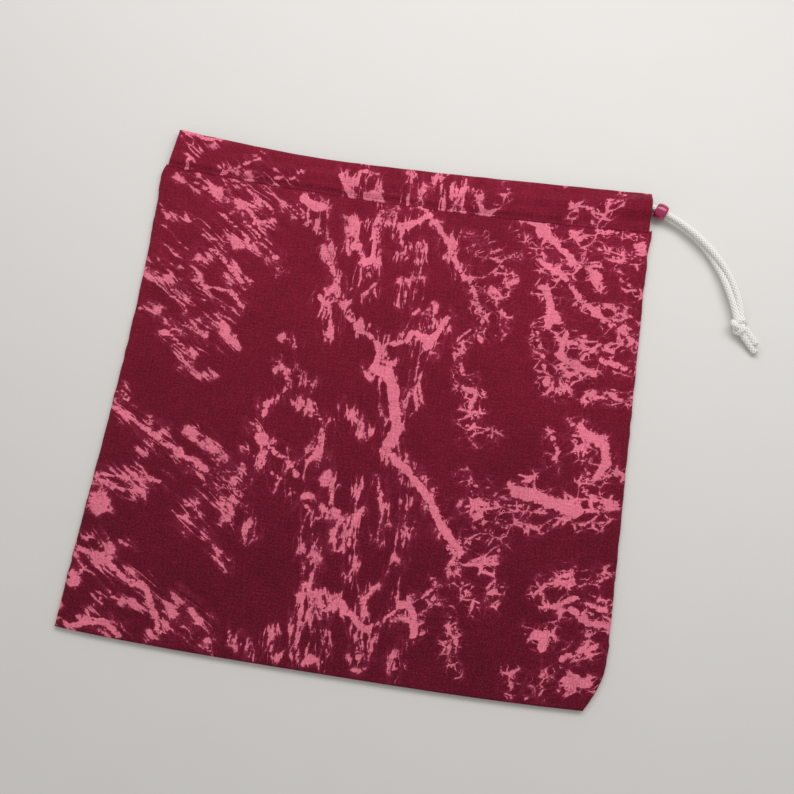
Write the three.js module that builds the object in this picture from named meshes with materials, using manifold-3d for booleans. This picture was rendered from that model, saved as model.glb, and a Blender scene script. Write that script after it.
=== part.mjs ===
// A small drawstring bag of brushed cotton, lying flat and empty.
//
// One piece of cloth is folded at the left, and sewn along its bottom and its right side.
// A second, narrower strip is folded lengthwise and sewn round the mouth as a casing.
// One white cord runs through the casing from its open right end, turns inside the
// closed left end, and comes back out beside itself. Both ends pass through a bead,
// which slides along them to hold the mouth shut, and are tied in one knot.
//
// Millimetres. X runs along the mouth, Y from the bottom seam to the mouth, Z up.
// The pieces are drawn with y = 0 at the bottom seam, and moved together at the end.

import * as THREE from 'three';
import { mergeVertices } from 'three/addons/utils/BufferGeometryUtils.js';
import Module from 'manifold-3d';

const wasm = await Module();
wasm.setup();

// Cloth
const CLOTH = 0.6; // one layer of brushed cotton
const CLEAR = 0.3; // room between layers that lie on each other
const ALLOWANCE = 8; // width of the seam allowances, turned inwards
const LOFT = 0.8; // how far the empty bag stands open in its middle
const LOFT_RISE = 28; // the loft is reached this far in from the edges
const MOUTH_GAPE = 2; // how far the two lips part in the middle of the mouth
const MOUTH_RISE = 50; // the bag thickens towards the mouth over this height
const OVERCUT = 3; // how far a cut runs on past the piece that it opens

// Outline of the flat bag
const BAG_WIDTH = 285.4;
const POUCH_HEIGHT = 266; // bottom seam to casing seam, at the sides
const BAND_HEIGHT = 22.1; // casing seam to the top fold, at the sides
const LEFT_BOW = 3.6; // the folded side bends in
const BOW_SKEW = 1.6; // deepest above its middle, for a number over 1
const LEFT_TAPER = 0.8; // and leans in towards the mouth
const BOTTOM_BULGE = 2.1; // the bottom seam bends out
const BOTTOM_LIFT = 1.2; // its left end turns up
const LIFT_WIDTH = 14; // over this width
const MOUTH_FLARE = 1.3; // the sewn side steps out below the casing
const FLARE_HEIGHT = 9; // over this height
const CORNER_WIDTH = 10; // the turned corner at the bottom right
const CORNER_HEIGHT = 30;
const SEAM_DIP = 4.8; // how far the casing seam bends down in the middle
const TOP_DIP = 7; // and the top fold of the front lip
const BACK_LIP_SHORT = 1; // the back lip stays this much inside the front one
const DIP_AT = -44; // where the top fold is lowest
const SEAM_DIP_AT = -5; // and the casing seam

// Casing
const BAND_LEFT_INSET = 4.1; // the casing is a little narrower than the bag
const BAND_LEFT_SLANT = 2.6;
const BAND_RIGHT_INSET = 1;
const BAND_RIGHT_SLANT = 0.3;
const BAND_TUCK = 1.4; // its allowance is cut away this much at the open end
const POCKET_LENGTH = 20; // closed left end, in which the cord turns
const POCKET_RISE = 6; // the closed end swells over this length
const END_FOLD = 2.6; // radius of its folded edge
const SEAM_RISE = 3; // the casing's layers part over this height above its seam
const SEAM_GRIP = 2.2; // and lie sewn together up to here
const SIDE_SLIT = 3; // the side allowance stops this far under the casing's
const RIDGE_FLAT = 2.4; // half the width of the ridge over the cord
const RIDGE_FOOT = 9.5; // where the ridge has run out

// Cord, bead and knot
const CORD = 3.1; // pressed width of one strand
const PAIR_GAP = 0.3; // between the two strands of the tail
const CORD_ROOM = 0.5; // around the cord inside the casing
const TAIL_HEIGHT = 5; // middle of the pair above the table
const TAIL_CENTRE = [120.2, 206]; // the tail lies on one arc around this point
const TAIL_RADIUS = 77.6;
const BEAD_DIAMETER = 9.2;
const BEAD_LENGTH = 6.2;
const BEAD_ROOM = 0.2; // around the pair inside the bead
const BEAD_CROWN = 1.6; // rounding of the bead's outer edges, along its axis
const BEAD_SHOULDER = 0.8; // and across it
const BORE_EDGE = 0.3; // chamfer of its bore
const BEAD_AT = 69.3; // degrees round the arc
const KNOT_AT = 8.5;
const KNOT_LENGTH = 9.2;
const KNOT_WIDTH = 8.8;
const KNOT_HEIGHT = 9.2;
const KNOT_WRAP = 3.4; // thickness of the turn that runs round the knot
const WRAP_SUNK = 1.2; // how deep that turn is pulled in
const WRAP_TILT = 0.5; // radians that it leans
const CUT_END = 3.6; // thickness of the cut ends
const SEAL = 2.8; // their melted tips

const COLOURS = {
  cloth: 0x7d1b37,
  cord: 0xece9e2,
  bead: 0xa3144e,
};

// What follows from the sizes above
const EDGE_STACK = 4 * CLOTH + 2 * CLEAR; // two walls and the allowances between them
const MOUTH_STACK = 6 * CLOTH + 3 * CLEAR; // the same and one more pair of allowances
const FOLD = EDGE_STACK / 2; // radius of the folded edges
const TONGUE_LOW = CLOTH + CLEAR;
const TONGUE = 2 * CLOTH;
const BAND_FLAT = TONGUE_LOW + TONGUE; // thickness of the casing away from the cord
const RIDGE = CORD + 2 * CORD_ROOM + 2 * CLOTH; // and over the cord
const LEFT = -BAG_WIDTH / 2;
const RIGHT = BAG_WIDTH / 2;
const BAND_TOP = POUCH_HEIGHT + BAND_HEIGHT;
const POCKET_END = LEFT + BAND_LEFT_INSET + POCKET_LENGTH;
const BAND_END = RIGHT - BAND_RIGHT_INSET;

// Where the cord lies in the casing, left to right: [x, y]
const FRONT_RUN = [
  [-126, 269.6], [-95, 268.4], [-50, 267.4], [0, 267.6], [50, 269], [90, 272.2], [106, 274.6],
  [121, 277.4], [141.8, 280.2],
];
const BACK_RUN = [
  [-126, 281.4], [-112, 279.6], [-88, 276.8], [-40, 275], [10, 275.6], [60, 277.6], [108, 280],
  [141.8, 280.2],
];
// The turn inside the closed left end, from the front run to the back run
const CORD_TURN = [[-130.2, 271.3], [-132, 275.5], [-130.2, 279.7]];
// The tail, bead to knot: [x, y, degrees that the pair is turned from upright]
const TAIL = [
  [144.7, 279.63, 0], [147.93, 278.48, 10], [155.24, 275.24, 22], [163.02, 270.72, 27],
  [170.22, 265.33, 28], [176.75, 259.14, 32], [182.52, 252.24, 46], [187.45, 244.72, 66],
  [192.25, 234.83, 86], [194.37, 228.82, 90], [196, 222.6, 90],
];
// The two cut ends behind the knot: [x, y, height above the table]
const LONG_END = [[197.5, 214.5, 5], [200.5, 211, 4.2], [204.5, 206.9, 2.9], [208.3, 202.9, 2]];
const SHORT_END = [[199.5, 214.5, 6], [202.8, 212.2, 5.2], [206.6, 209.4, 4.4]];

const clamp = (t) => Math.min(Math.max(t, 0), 1);
const smooth = (t) => clamp(t) * clamp(t) * (3 - 2 * clamp(t));
const lerp = (a, b, t) => a + (b - a) * t;
const round = (distance, radius) => Math.sqrt(1 - (1 - clamp(distance / radius)) ** 2);

// How deep an edge that hangs between two ends has sunk at x, from 0 to 1
function sunk(x, lowest, power) {
  const end = x < lowest ? LEFT : RIGHT;
  return 1 - clamp((x - lowest) / (end - lowest)) ** power;
}

function gape(x) {
  const middle = (POCKET_END + BAND_END) / 2;
  const half = (BAND_END - POCKET_END) / 2;
  return MOUTH_GAPE * (1 - clamp(Math.abs(x - middle) / half) ** 2.5);
}

const seamY = (x) => POUCH_HEIGHT - SEAM_DIP * sunk(x, SEAM_DIP_AT, 2);
const frontFoldY = (x) => BAND_TOP - TOP_DIP * sunk(x, DIP_AT, 1.5);
const backFoldY = (x) => frontFoldY(x) - BACK_LIP_SHORT;

// The y at x of a cord laid through the points of a run
function runLine(run) {
  const points = new THREE.SplineCurve(run.map(([x, y]) => new THREE.Vector2(x, y))).getPoints(80);
  return (x) => {
    const next = points.findIndex((point) => point.x >= x);
    if (next <= 0) return points.at(next).y;
    const [from, to] = [points[next - 1], points[next]];
    return lerp(from.y, to.y, (x - from.x) / (to.x - from.x));
  };
}

const frontRunY = runLine(FRONT_RUN);
const backRunY = runLine(BACK_RUN);

// A closed piece between two height fields, over a grid of stations in u and v.
// Where the two heights meet at the border, the piece closes in a fold.
function layer(us, vs, place) {
  const nodes = vs.map((v) => us.map((u) => place(u, v)));
  const positions = [];
  const point = (i, j, side) => {
    const node = nodes[j][i];
    positions.push(node.x, node.y, node[side]);
  };
  const face = (...corners) => corners.forEach(([i, j, side]) => point(i, j, side));
  const [lastU, lastV] = [us.length - 1, vs.length - 1];
  for (let j = 0; j < lastV; j += 1) {
    for (let i = 0; i < lastU; i += 1) {
      const [a, b, c, d] = [[i, j], [i + 1, j], [i + 1, j + 1], [i, j + 1]];
      const rising = i < lastU / 2 === j < lastV / 2;
      const halves = rising ? [[a, b, c], [a, c, d]] : [[a, b, d], [b, c, d]];
      for (const [p, q, r] of halves) {
        face([...p, 'high'], [...q, 'high'], [...r, 'high']);
        face([...r, 'low'], [...q, 'low'], [...p, 'low']);
      }
    }
  }
  const border = [];
  for (let i = 0; i < lastU; i += 1) border.push([i, 0]);
  for (let j = 0; j < lastV; j += 1) border.push([lastU, j]);
  for (let i = lastU; i > 0; i -= 1) border.push([i, lastV]);
  for (let j = lastV; j > 0; j -= 1) border.push([0, j]);
  border.forEach((p, k) => {
    const q = border[(k + 1) % border.length];
    face([...p, 'low'], [...q, 'low'], [...q, 'high']);
    face([...p, 'low'], [...q, 'high'], [...p, 'high']);
  });
  const geometry = new THREE.BufferGeometry();
  geometry.setAttribute('position', new THREE.Float32BufferAttribute(positions, 3));
  return geometry;
}

function solid(geometry) {
  const bare = geometry.clone();
  bare.deleteAttribute('normal');
  bare.deleteAttribute('uv');
  const merged = mergeVertices(bare, 1e-4);
  const index = merged.index.array;
  const triVerts = [];
  for (let k = 0; k < index.length; k += 3) {
    const [a, b, c] = index.slice(k, k + 3);
    if (a !== b && b !== c && c !== a) triVerts.push(a, b, c);
  }
  return new wasm.Manifold(new wasm.Mesh({
    numProp: 3,
    vertProperties: new Float32Array(merged.attributes.position.array),
    triVerts: new Uint32Array(triVerts),
  }));
}

function surface(manifold) {
  const mesh = manifold.getMesh();
  const geometry = new THREE.BufferGeometry();
  geometry.setAttribute('position', new THREE.Float32BufferAttribute(mesh.vertProperties, 3));
  geometry.setIndex(new THREE.Uint32BufferAttribute(mesh.triVerts, 1));
  geometry.computeVertexNormals();
  return geometry;
}

// Stations across a width: close together at the ends named, even in between
function stations(length, near, far, between) {
  const left = near.map((d) => d / length);
  const right = far.map((d) => 1 - d / length).reverse();
  const [from, to] = [left[left.length - 1] ?? 0, right[0] ?? 1];
  const middle = [];
  for (let k = 1; k < between; k += 1) middle.push(lerp(from, to, k / between));
  return [...left, ...middle, ...right];
}

// The pouch

const FOLD_STEPS = [0, FOLD * 0.15, FOLD * 0.5, FOLD, LOFT_RISE * 0.18, LOFT_RISE * 0.46, LOFT_RISE];
const MOUTH_STEPS = [0, ALLOWANCE + 1, MOUTH_RISE * 0.4, MOUTH_RISE * 0.68, MOUTH_RISE];

function pouchOutline(u, v) {
  const rise = v * POUCH_HEIGHT;
  const corner = CORNER_WIDTH * (1 - clamp(rise / CORNER_HEIGHT)) ** 2;
  const bent = clamp(v) ** BOW_SKEW;
  const bow = LEFT_BOW * 4 * bent * (1 - bent);
  const flare = MOUTH_FLARE * clamp(1 - (POUCH_HEIGHT - rise) / FLARE_HEIGHT);
  const x = lerp(LEFT + bow + LEFT_TAPER * v, RIGHT - corner + flare, u);
  const lift = BOTTOM_LIFT * (1 - clamp((u * BAG_WIDTH) / LIFT_WIDTH)) ** 2;
  const bottom = lift - BOTTOM_BULGE * (1 - Math.abs(2 * u - 1) ** 3);
  return { x, y: lerp(bottom, seamY(x), v) };
}

function pouchTop(x, y, u, v) {
  const sides = smooth((u * BAG_WIDTH) / LOFT_RISE) * smooth(((1 - u) * BAG_WIDTH) / LOFT_RISE);
  const flat = EDGE_STACK + LOFT * sides * smooth((v * POUCH_HEIGHT) / LOFT_RISE);
  const toMouth = smooth((y - seamY(x) + MOUTH_RISE) / (MOUTH_RISE - ALLOWANCE - 1));
  return lerp(flat, MOUTH_STACK + gape(x), toMouth);
}

// The space inside a skin of the bag's own outline: inset 0 gives the outside
function pouchSkin(inset, beyond) {
  const us = stations(BAG_WIDTH, FOLD_STEPS, FOLD_STEPS, 8);
  const vs = stations(POUCH_HEIGHT, FOLD_STEPS, MOUTH_STEPS, 6);
  return layer(us, vs, (s, t) => {
    const u = lerp(inset / BAG_WIDTH, 1 - inset / BAG_WIDTH, s);
    const v = lerp(inset / POUCH_HEIGHT, 1 + beyond / POUCH_HEIGHT, t);
    const { x, y } = pouchOutline(u, v);
    const top = pouchTop(x, y, u, Math.min(v, 1));
    const edges = [u * BAG_WIDTH, (1 - u) * BAG_WIDTH, v * POUCH_HEIGHT];
    const open = edges.reduce((f, d) => f * round(d - inset, top / 2 - inset), 1);
    const half = (top / 2 - inset) * open;
    return { x, y, low: top / 2 - half, high: top / 2 + half };
  });
}

// A doubled seam allowance, turned into the pouch and joined to its folded edge
function allowance(fromU, toU, fromV, toV, columns, rows) {
  const us = stations(1, [0], [0], columns);
  const vs = stations(1, [0], [0], rows);
  return layer(us, vs, (s, t) => {
    const { x, y } = pouchOutline(lerp(fromU, toU, s), lerp(fromV, toV, t));
    return { x, y, low: TONGUE_LOW, high: TONGUE_LOW + TONGUE };
  });
}

function pouch() {
  const root = CLOTH * 0.7; // how deep the allowance is joined to the fold
  const [du, dv] = [1 / BAG_WIDTH, 1 / POUCH_HEIGHT];
  const sideTop = 1 - (ALLOWANCE + SIDE_SLIT) * dv;
  const side = allowance(1 - (ALLOWANCE + CLOTH) * du, 1 - root * du, root * dv, sideTop, 2, 16);
  const bottomStart = (CLOTH + 2 * FOLD) * du;
  const bottom = allowance(bottomStart, 1 - root * du, root * dv, (ALLOWANCE + CLOTH) * dv, 40, 2);
  const shell = solid(pouchSkin(0, 0)).subtract(solid(pouchSkin(CLOTH, OVERCUT)));
  return shell.add(solid(side)).add(solid(bottom));
}

// The casing

function bandOutline(u, v, fold) {
  const left = LEFT + BAND_LEFT_INSET + BAND_LEFT_SLANT * Math.max(v, 0);
  const right = BAND_END + BAND_RIGHT_SLANT * (1 - Math.max(v, 0)) + BAND_TUCK * Math.min(v, 0);
  const x = lerp(left, right, u);
  const seam = seamY(x);
  return { x, y: v < 0 ? seam + v * ALLOWANCE : lerp(seam, fold(x), v) };
}

function ridge(offset) {
  return 1 - smooth((Math.abs(offset) - RIDGE_FLAT) / (RIDGE_FOOT - RIDGE_FLAT));
}

// Thickness of one lip: two layers at the seam, and room for the cord along its run
function lipThickness(x, y, runY) {
  const open = smooth((y - seamY(x)) / SEAM_RISE);
  return TONGUE + open * (BAND_FLAT - TONGUE + (RIDGE - BAND_FLAT) * ridge(y - runY(x)));
}

function backLip(x, y) {
  const low = TONGUE_LOW * (1 - smooth((y - seamY(x)) / SEAM_RISE));
  return { low, high: low + lipThickness(x, y, backRunY) };
}

function frontLip(x, y) {
  const low = backLip(x, y).high + CLEAR + gape(x);
  return { low, high: low + lipThickness(x, y, frontRunY) };
}

// The closed end, where the two lips run into each other and the cord turns
function pocket(x, y) {
  const low = backLip(x, y).low;
  const room = smooth((POCKET_END - x) / POCKET_RISE) * smooth((y - seamY(x)) / POCKET_RISE);
  const plateau = BAND_FLAT + CLEAR + RIDGE;
  return { low, high: Math.max(frontLip(x, y).high, lerp(BAND_FLAT, plateau, room)) };
}

const BAND_ROWS = [0, 0.05, 0.11, 0.18, 0.27, 0.36, 0.45, 0.54, 0.63, 0.72, 0.81, 0.89, 0.95, 0.985, 1];
const BAND_LENGTH = BAND_END - LEFT - BAND_LEFT_INSET;

// One part of the casing between two stations in x, or the space inside it
function bandPart(us, lip, fold, inset, openEnds) {
  const rows = inset > 0 ? BAND_ROWS : [-1, ...BAND_ROWS];
  return layer(us, rows, (u, row) => {
    const v = inset > 0 ? lerp(SEAM_GRIP / BAND_HEIGHT, 1 - inset / BAND_HEIGHT, row) : row;
    const { x, y } = bandOutline(u, v, fold);
    const { low, high } = lip(x, y);
    const middle = (low + high) / 2;
    const topFold = (1 - v) * BAND_HEIGHT - inset;
    const leftFold = openEnds ? Infinity : x - bandOutline(0, v, fold).x - inset;
    let half = (high - low) / 2 - inset;
    half *= round(topFold, BAND_FLAT * 0.7 - inset);
    half *= round(leftFold, END_FOLD - inset);
    if (inset > 0) half *= round(row * BAND_HEIGHT, 2 * CLOTH);
    return { x, y, low: middle - half, high: middle + half };
  });
}

function band() {
  const near = [POCKET_LENGTH - OVERCUT, POCKET_LENGTH + 6, POCKET_LENGTH + 20];
  const far = [7, 14, 22, 30, 40, 52];
  const lips = stations(BAND_LENGTH, near, [0, ...far], 9);
  const tunnels = stations(BAND_LENGTH, near, [-OVERCUT, ...far], 9);
  const end = [0, 0.2, 0.8, END_FOLD];
  const across = [6, 10, 14, 17];
  const closed = [...end, ...across, POCKET_LENGTH].map((d) => d / BAND_LENGTH);
  const hollow = [...end.slice(0, -1).map((d) => d + CLOTH), END_FOLD, ...across, POCKET_LENGTH - CLOTH]
    .map((d) => d / BAND_LENGTH);
  const outside = solid(bandPart(lips, backLip, backFoldY, 0, true))
    .add(solid(bandPart(lips, frontLip, frontFoldY, 0, true)))
    .add(solid(bandPart(closed, pocket, frontFoldY, 0, false)));
  return outside
    .subtract(solid(bandPart(tunnels, backLip, backFoldY, CLOTH, true)))
    .subtract(solid(bandPart(tunnels, frontLip, frontFoldY, CLOTH, true)))
    .subtract(solid(bandPart(hollow, pocket, frontFoldY, CLOTH, false)));
}

// The cord, as a curve with as many steps between any two of its points
class CordCurve extends THREE.CatmullRomCurve3 {
  getUtoTmapping(u) {
    return u;
  }
}

function cordSection(diameter, sides) {
  const shape = new THREE.Shape();
  for (let k = 0; k < sides; k += 1) {
    const angle = ((k + 0.5) / sides) * 2 * Math.PI;
    const [x, y] = [(Math.cos(angle) * diameter) / 2, (Math.sin(angle) * diameter) / 2];
    if (k === 0) shape.moveTo(x, y);
    else shape.lineTo(x, y);
  }
  shape.closePath();
  return shape;
}

function tube(points, diameter, stepsBetween, sides) {
  const route = new CordCurve(points, false, 'centripetal');
  return new THREE.ExtrudeGeometry(cordSection(diameter, sides), {
    steps: (points.length - 1) * stepsBetween,
    bevelEnabled: false,
    extrudePath: route,
  });
}

// One strand of the tail: side is 1 for the front run's strand and -1 for the back run's
function tailStrand(side) {
  const offset = (side * (CORD + PAIR_GAP)) / 2;
  return TAIL.map(([x, y, turned]) => {
    const angle = THREE.MathUtils.degToRad(turned);
    const out = new THREE.Vector2(x - TAIL_CENTRE[0], y - TAIL_CENTRE[1]).normalize();
    const [across, up] = [offset * Math.sin(angle), offset * Math.cos(angle)];
    return new THREE.Vector3(x + out.x * across, y + out.y * across, TAIL_HEIGHT + up);
  });
}

function runStrand(run, lip) {
  return run.map(([x, y]) => {
    const { low, high } = lip(x, y);
    return new THREE.Vector3(x, y, (low + high) / 2);
  });
}

function cordRoute() {
  const front = runStrand(FRONT_RUN, frontLip);
  const back = runStrand(BACK_RUN, backLip);
  const turn = CORD_TURN.map(([x, y], k) => {
    const z = lerp(front[0].z, back[0].z, (k + 1) / (CORD_TURN.length + 1));
    return new THREE.Vector3(x, y, z);
  });
  return [...tailStrand(1).reverse(), ...front.reverse(), ...turn, ...back, ...tailStrand(-1)];
}

function onArc(degrees) {
  const angle = THREE.MathUtils.degToRad(degrees);
  const [cx, cy] = TAIL_CENTRE;
  return new THREE.Vector3(
    cx + TAIL_RADIUS * Math.cos(angle), cy + TAIL_RADIUS * Math.sin(angle), TAIL_HEIGHT,
  );
}

function beadGeometry() {
  const bore = CORD + PAIR_GAP / 2 + BEAD_ROOM;
  const [outer, half] = [BEAD_DIAMETER / 2, BEAD_LENGTH / 2];
  const profile = [
    new THREE.Vector2(bore, -half + BORE_EDGE),
    new THREE.Vector2(bore + BORE_EDGE, -half),
  ];
  for (const side of [-1, 1]) {
    for (let k = 0; k <= 3; k += 1) {
      const angle = ((side < 0 ? k : 3 - k) / 3) * (Math.PI / 2);
      const r = outer - BEAD_SHOULDER * (1 - Math.sin(angle));
      const along = half - BEAD_CROWN * (1 - Math.cos(angle));
      profile.push(new THREE.Vector2(r, side * along));
    }
  }
  profile.push(new THREE.Vector2(bore + BORE_EDGE, half), new THREE.Vector2(bore, half - BORE_EDGE));
  profile.push(profile[0].clone());
  return new THREE.LatheGeometry(profile, 32);
}

function knot() {
  const lump = new THREE.SphereGeometry(0.5, 20, 14);
  lump.scale(KNOT_WIDTH, KNOT_LENGTH, KNOT_HEIGHT);
  const wrap = new THREE.TorusGeometry(KNOT_WIDTH / 2 - WRAP_SUNK, KNOT_WRAP / 2, 8, 20);
  wrap.rotateX(Math.PI / 2);
  wrap.rotateZ(WRAP_TILT);
  for (const piece of [lump, wrap]) {
    piece.rotateZ(THREE.MathUtils.degToRad(KNOT_AT));
    piece.translate(...onArc(KNOT_AT).toArray());
  }
  const ends = [LONG_END, SHORT_END].map((points) => {
    const route = points.map((p) => new THREE.Vector3(...p));
    const tip = new THREE.SphereGeometry(SEAL / 2, 8, 6);
    tip.translate(...route[route.length - 1].toArray());
    return solid(tube(route, CUT_END, 2, 8)).add(solid(tip));
  });
  return solid(lump).add(solid(wrap)).add(ends[0]).add(ends[1]);
}

function material(colour, roughness) {
  return new THREE.MeshStandardMaterial({ color: colour, roughness, metalness: 0 });
}

function named(name, geometry, look) {
  const mesh = new THREE.Mesh(geometry, look);
  mesh.name = name;
  return mesh;
}

const clothLook = material(COLOURS.cloth, 0.95);
const cordLook = material(COLOURS.cord, 0.85);

const bag = new THREE.Group();
const cloth = new THREE.Group();
cloth.add(named('cloth_pouch', surface(pouch()), clothLook));
cloth.add(named('casing_band', surface(band()), clothLook.clone()));
bag.add(cloth);
bag.add(named('drawcord', tube(cordRoute(), CORD, 2, 8), cordLook));
bag.add(named('end_knot', surface(knot()), cordLook.clone()));

const bead = named('cord_bead', beadGeometry(), material(COLOURS.bead, 0.25));
bead.position.copy(onArc(BEAD_AT));
bead.rotation.z = THREE.MathUtils.degToRad(BEAD_AT);
bag.add(bead);

// The whole is moved so that its origin lies on the table, under the middle of the cloth
const clothBox = new THREE.Box3().setFromObject(cloth);
const middle = clothBox.getCenter(new THREE.Vector3());
bag.position.set(-middle.x, -middle.y, -clothBox.min.z);

const root = new THREE.Group();
root.add(bag);

export default root;
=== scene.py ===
# %% [markdown]
# A small drawstring bag, lying flat and empty on a table. One piece of printed, brushed cotton is
# folded at the left and sewn along its bottom and its right side. A folded strip of the same cloth
# is sewn round the mouth as a casing, and a white cord runs through it, out of its open right end
# and through a bead to a knot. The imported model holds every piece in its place, at its real size.
# This script keeps those places and gives each piece its real surface.

import math

import bpy
import numpy as np
from mathutils import Matrix, Quaternion, Vector


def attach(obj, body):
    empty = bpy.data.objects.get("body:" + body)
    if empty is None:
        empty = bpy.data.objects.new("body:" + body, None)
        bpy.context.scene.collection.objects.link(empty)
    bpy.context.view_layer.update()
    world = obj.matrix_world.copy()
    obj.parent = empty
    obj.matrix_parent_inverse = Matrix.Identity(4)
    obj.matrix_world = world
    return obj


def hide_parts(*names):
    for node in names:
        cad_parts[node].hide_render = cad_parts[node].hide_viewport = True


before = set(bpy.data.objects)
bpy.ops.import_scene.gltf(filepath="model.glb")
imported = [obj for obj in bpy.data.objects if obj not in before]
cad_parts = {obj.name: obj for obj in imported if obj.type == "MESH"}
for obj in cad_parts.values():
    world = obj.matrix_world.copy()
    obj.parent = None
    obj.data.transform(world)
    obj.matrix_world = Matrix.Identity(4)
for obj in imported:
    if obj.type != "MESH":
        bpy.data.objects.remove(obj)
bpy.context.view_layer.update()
MM = 0.001
ORIGIN = [-0.65, -142.972, 0.0]


# %% [markdown]
# The bag is drawn in millimetres with y = 0 at its bottom seam, as a pattern cutter would draw it.
# The model's own origin lies under the middle of the cloth, so every drawn point is moved back by
# the same amount and turned into metres.

# %% From the drawing to the model
def placed(points):
    """Drawn points in millimetres, as points of the model in metres."""
    return (np.asarray(points, float) + ORIGIN) * MM


def in_scene(name, data):
    made = bpy.data.objects.new(name, data)
    bpy.context.scene.collection.objects.link(made)
    return made


def lerp(a, b, t):
    return a + (b - a) * t


def smooth(t):
    t = np.clip(t, 0.0, 1.0)
    return t * t * (3 - 2 * t)


def rounded(distance, radius):
    """0 at an edge and 1 a radius away from it, along a quarter of a circle."""
    return np.sqrt(1 - (1 - np.clip(distance / radius, 0, 1)) ** 2)


# %% [markdown]
# The picture was taken from above, at arm's length, a little from the near right. The camera is
# set by where it stands and the point on the table that it looks at, and it is rolled by one degree.

# %% Camera
CAMERA_AT = (36.65, 21.29, 524.84)
CAMERA_AIM = (14.66, 149.12, 0.0)
CAMERA_ROLL = math.radians(-1.033)
CAMERA_LENS = 44.43

camera = in_scene("camera", bpy.data.cameras.new("camera"))
camera.data.lens = CAMERA_LENS
camera.data.sensor_width = 36.0
camera.data.clip_start = 0.01
camera_at, camera_aim = (Vector(p) for p in placed([CAMERA_AT, CAMERA_AIM]))
camera.location = camera_at
camera.rotation_mode = "QUATERNION"
looking = (camera_aim - camera_at).to_track_quat("-Z", "Y")
camera.rotation_quaternion = looking @ Quaternion((0, 0, 1), CAMERA_ROLL)
bpy.context.scene.camera = camera
print("Camera to table in mm:", round((camera_aim - camera_at).length / MM, 1))


# %% [markdown]
# The outline of the flat bag. Its folded left side bows in, the bottom seam bows out, the turned
# corner at the bottom right is rounded, and the casing seam and the top fold sag between their
# ends. Each edge is one short formula, with the model's own sizes or a millimetre or two more,
# where the photo asks for it. All sizes are in millimetres.

# %% Sizes and outline of the cloth
CLOTH = 0.6
CLEAR = 0.3
ALLOWANCE = 8.0
LOFT, LOFT_RISE = 0.8, 28.0
MOUTH_GAPE, MOUTH_RISE = 0.7, 50.0
BAG_WIDTH, POUCH_HEIGHT, BAND_HEIGHT = 285.4, 266.6, 23.1
RIGHT_OUT = 0.5
LEFT, RIGHT = -BAG_WIDTH / 2, BAG_WIDTH / 2 + RIGHT_OUT
LEFT_BOW, BOW_SKEW, LEFT_TAPER = 3.6, 1.6, 0.8
BOTTOM_BULGE, BOTTOM_LIFT, LIFT_WIDTH = 2.5, 0.2, 14.0
MOUTH_FLARE, FLARE_HEIGHT = 1.3, 16.0
SHOULDER_WIDTH, SHOULDER_HEIGHT = 2.6, 8.0
CORNER_WIDTH, CORNER_HEIGHT = 10.0, 30.0
SEAM_DIP, SEAM_DIP_AT = 4.8, -5.0
TOP_DIP, TOP_DIP_AT = 7.0, -44.0
BACK_LIP_SHORT = 1.0
BAND_LEFT_INSET, BAND_LEFT_SLANT = 4.1, 2.6
BAND_RIGHT_INSET, BAND_RIGHT_SLANT = 1.5, 0.6
POCKET_LENGTH = 20.0
END_FOLD = 2.6
SEAM_RISE = 3.0
RIDGE_FLAT, RIDGE_FOOT = 2.4, 9.5
PRESSED_CORD, OPEN_CORD, CORD_ROOM = 1.9, 2.635, 0.15
OPEN_FROM, OPEN_OVER = 26.0, 24.0
MOUTH_PRESSED = 0.6

EDGE_STACK = 4 * CLOTH + 2 * CLEAR
MOUTH_STACK = 6 * CLOTH + 3 * CLEAR - MOUTH_PRESSED
TONGUE_LOW, TONGUE = CLOTH + CLEAR, 2 * CLOTH
BAND_FLAT = TONGUE_LOW + TONGUE
RIDGE = PRESSED_CORD + 2 * CORD_ROOM + 2 * CLOTH
OPEN_RIDGE = OPEN_CORD + 2 * CORD_ROOM + 2 * CLOTH
POCKET_END = LEFT + BAND_LEFT_INSET + POCKET_LENGTH
BAND_END = RIGHT - BAND_RIGHT_INSET


def sunk(x, lowest, power):
    """0 at both ends of an edge and 1 at its lowest place."""
    end = np.where(x < lowest, LEFT, RIGHT)
    return 1 - np.clip((x - lowest) / (end - lowest), 0, 1) ** power


def gape(x):
    """How far the two lips of the mouth stand apart."""
    middle, half = (POCKET_END + BAND_END) / 2, (BAND_END - POCKET_END) / 2
    return MOUTH_GAPE * (1 - np.clip(abs(x - middle) / half, 0, 1) ** 2.5)


def seam_y(x):
    return POUCH_HEIGHT - SEAM_DIP * sunk(x, SEAM_DIP_AT, 2)


def front_fold_y(x):
    return POUCH_HEIGHT + BAND_HEIGHT - TOP_DIP * sunk(x, TOP_DIP_AT, 1.5)


def pouch_outline(u, v):
    """Where the cloth at u across and v up the bag lies on the table."""
    corner = CORNER_WIDTH * (1 - np.clip(v * POUCH_HEIGHT / CORNER_HEIGHT, 0, 1)) ** 2
    bent = np.clip(v, 0, 1) ** BOW_SKEW
    bow = LEFT_BOW * 4 * bent * (1 - bent)
    flare = MOUTH_FLARE * smooth(1 - (1 - v) * POUCH_HEIGHT / FLARE_HEIGHT)
    shoulder = SHOULDER_WIDTH * np.clip(1 - (1 - v) * POUCH_HEIGHT / SHOULDER_HEIGHT, 0, 1) ** 2
    x = lerp(LEFT + bow + LEFT_TAPER * v + shoulder, RIGHT - corner + flare, u)
    lift = BOTTOM_LIFT * (1 - np.clip(u * BAG_WIDTH / LIFT_WIDTH, 0, 1)) ** 2
    bottom = lift - BOTTOM_BULGE * (1 - abs(2 * u - 1) ** 3)
    return x, lerp(bottom, seam_y(x), v)


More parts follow.
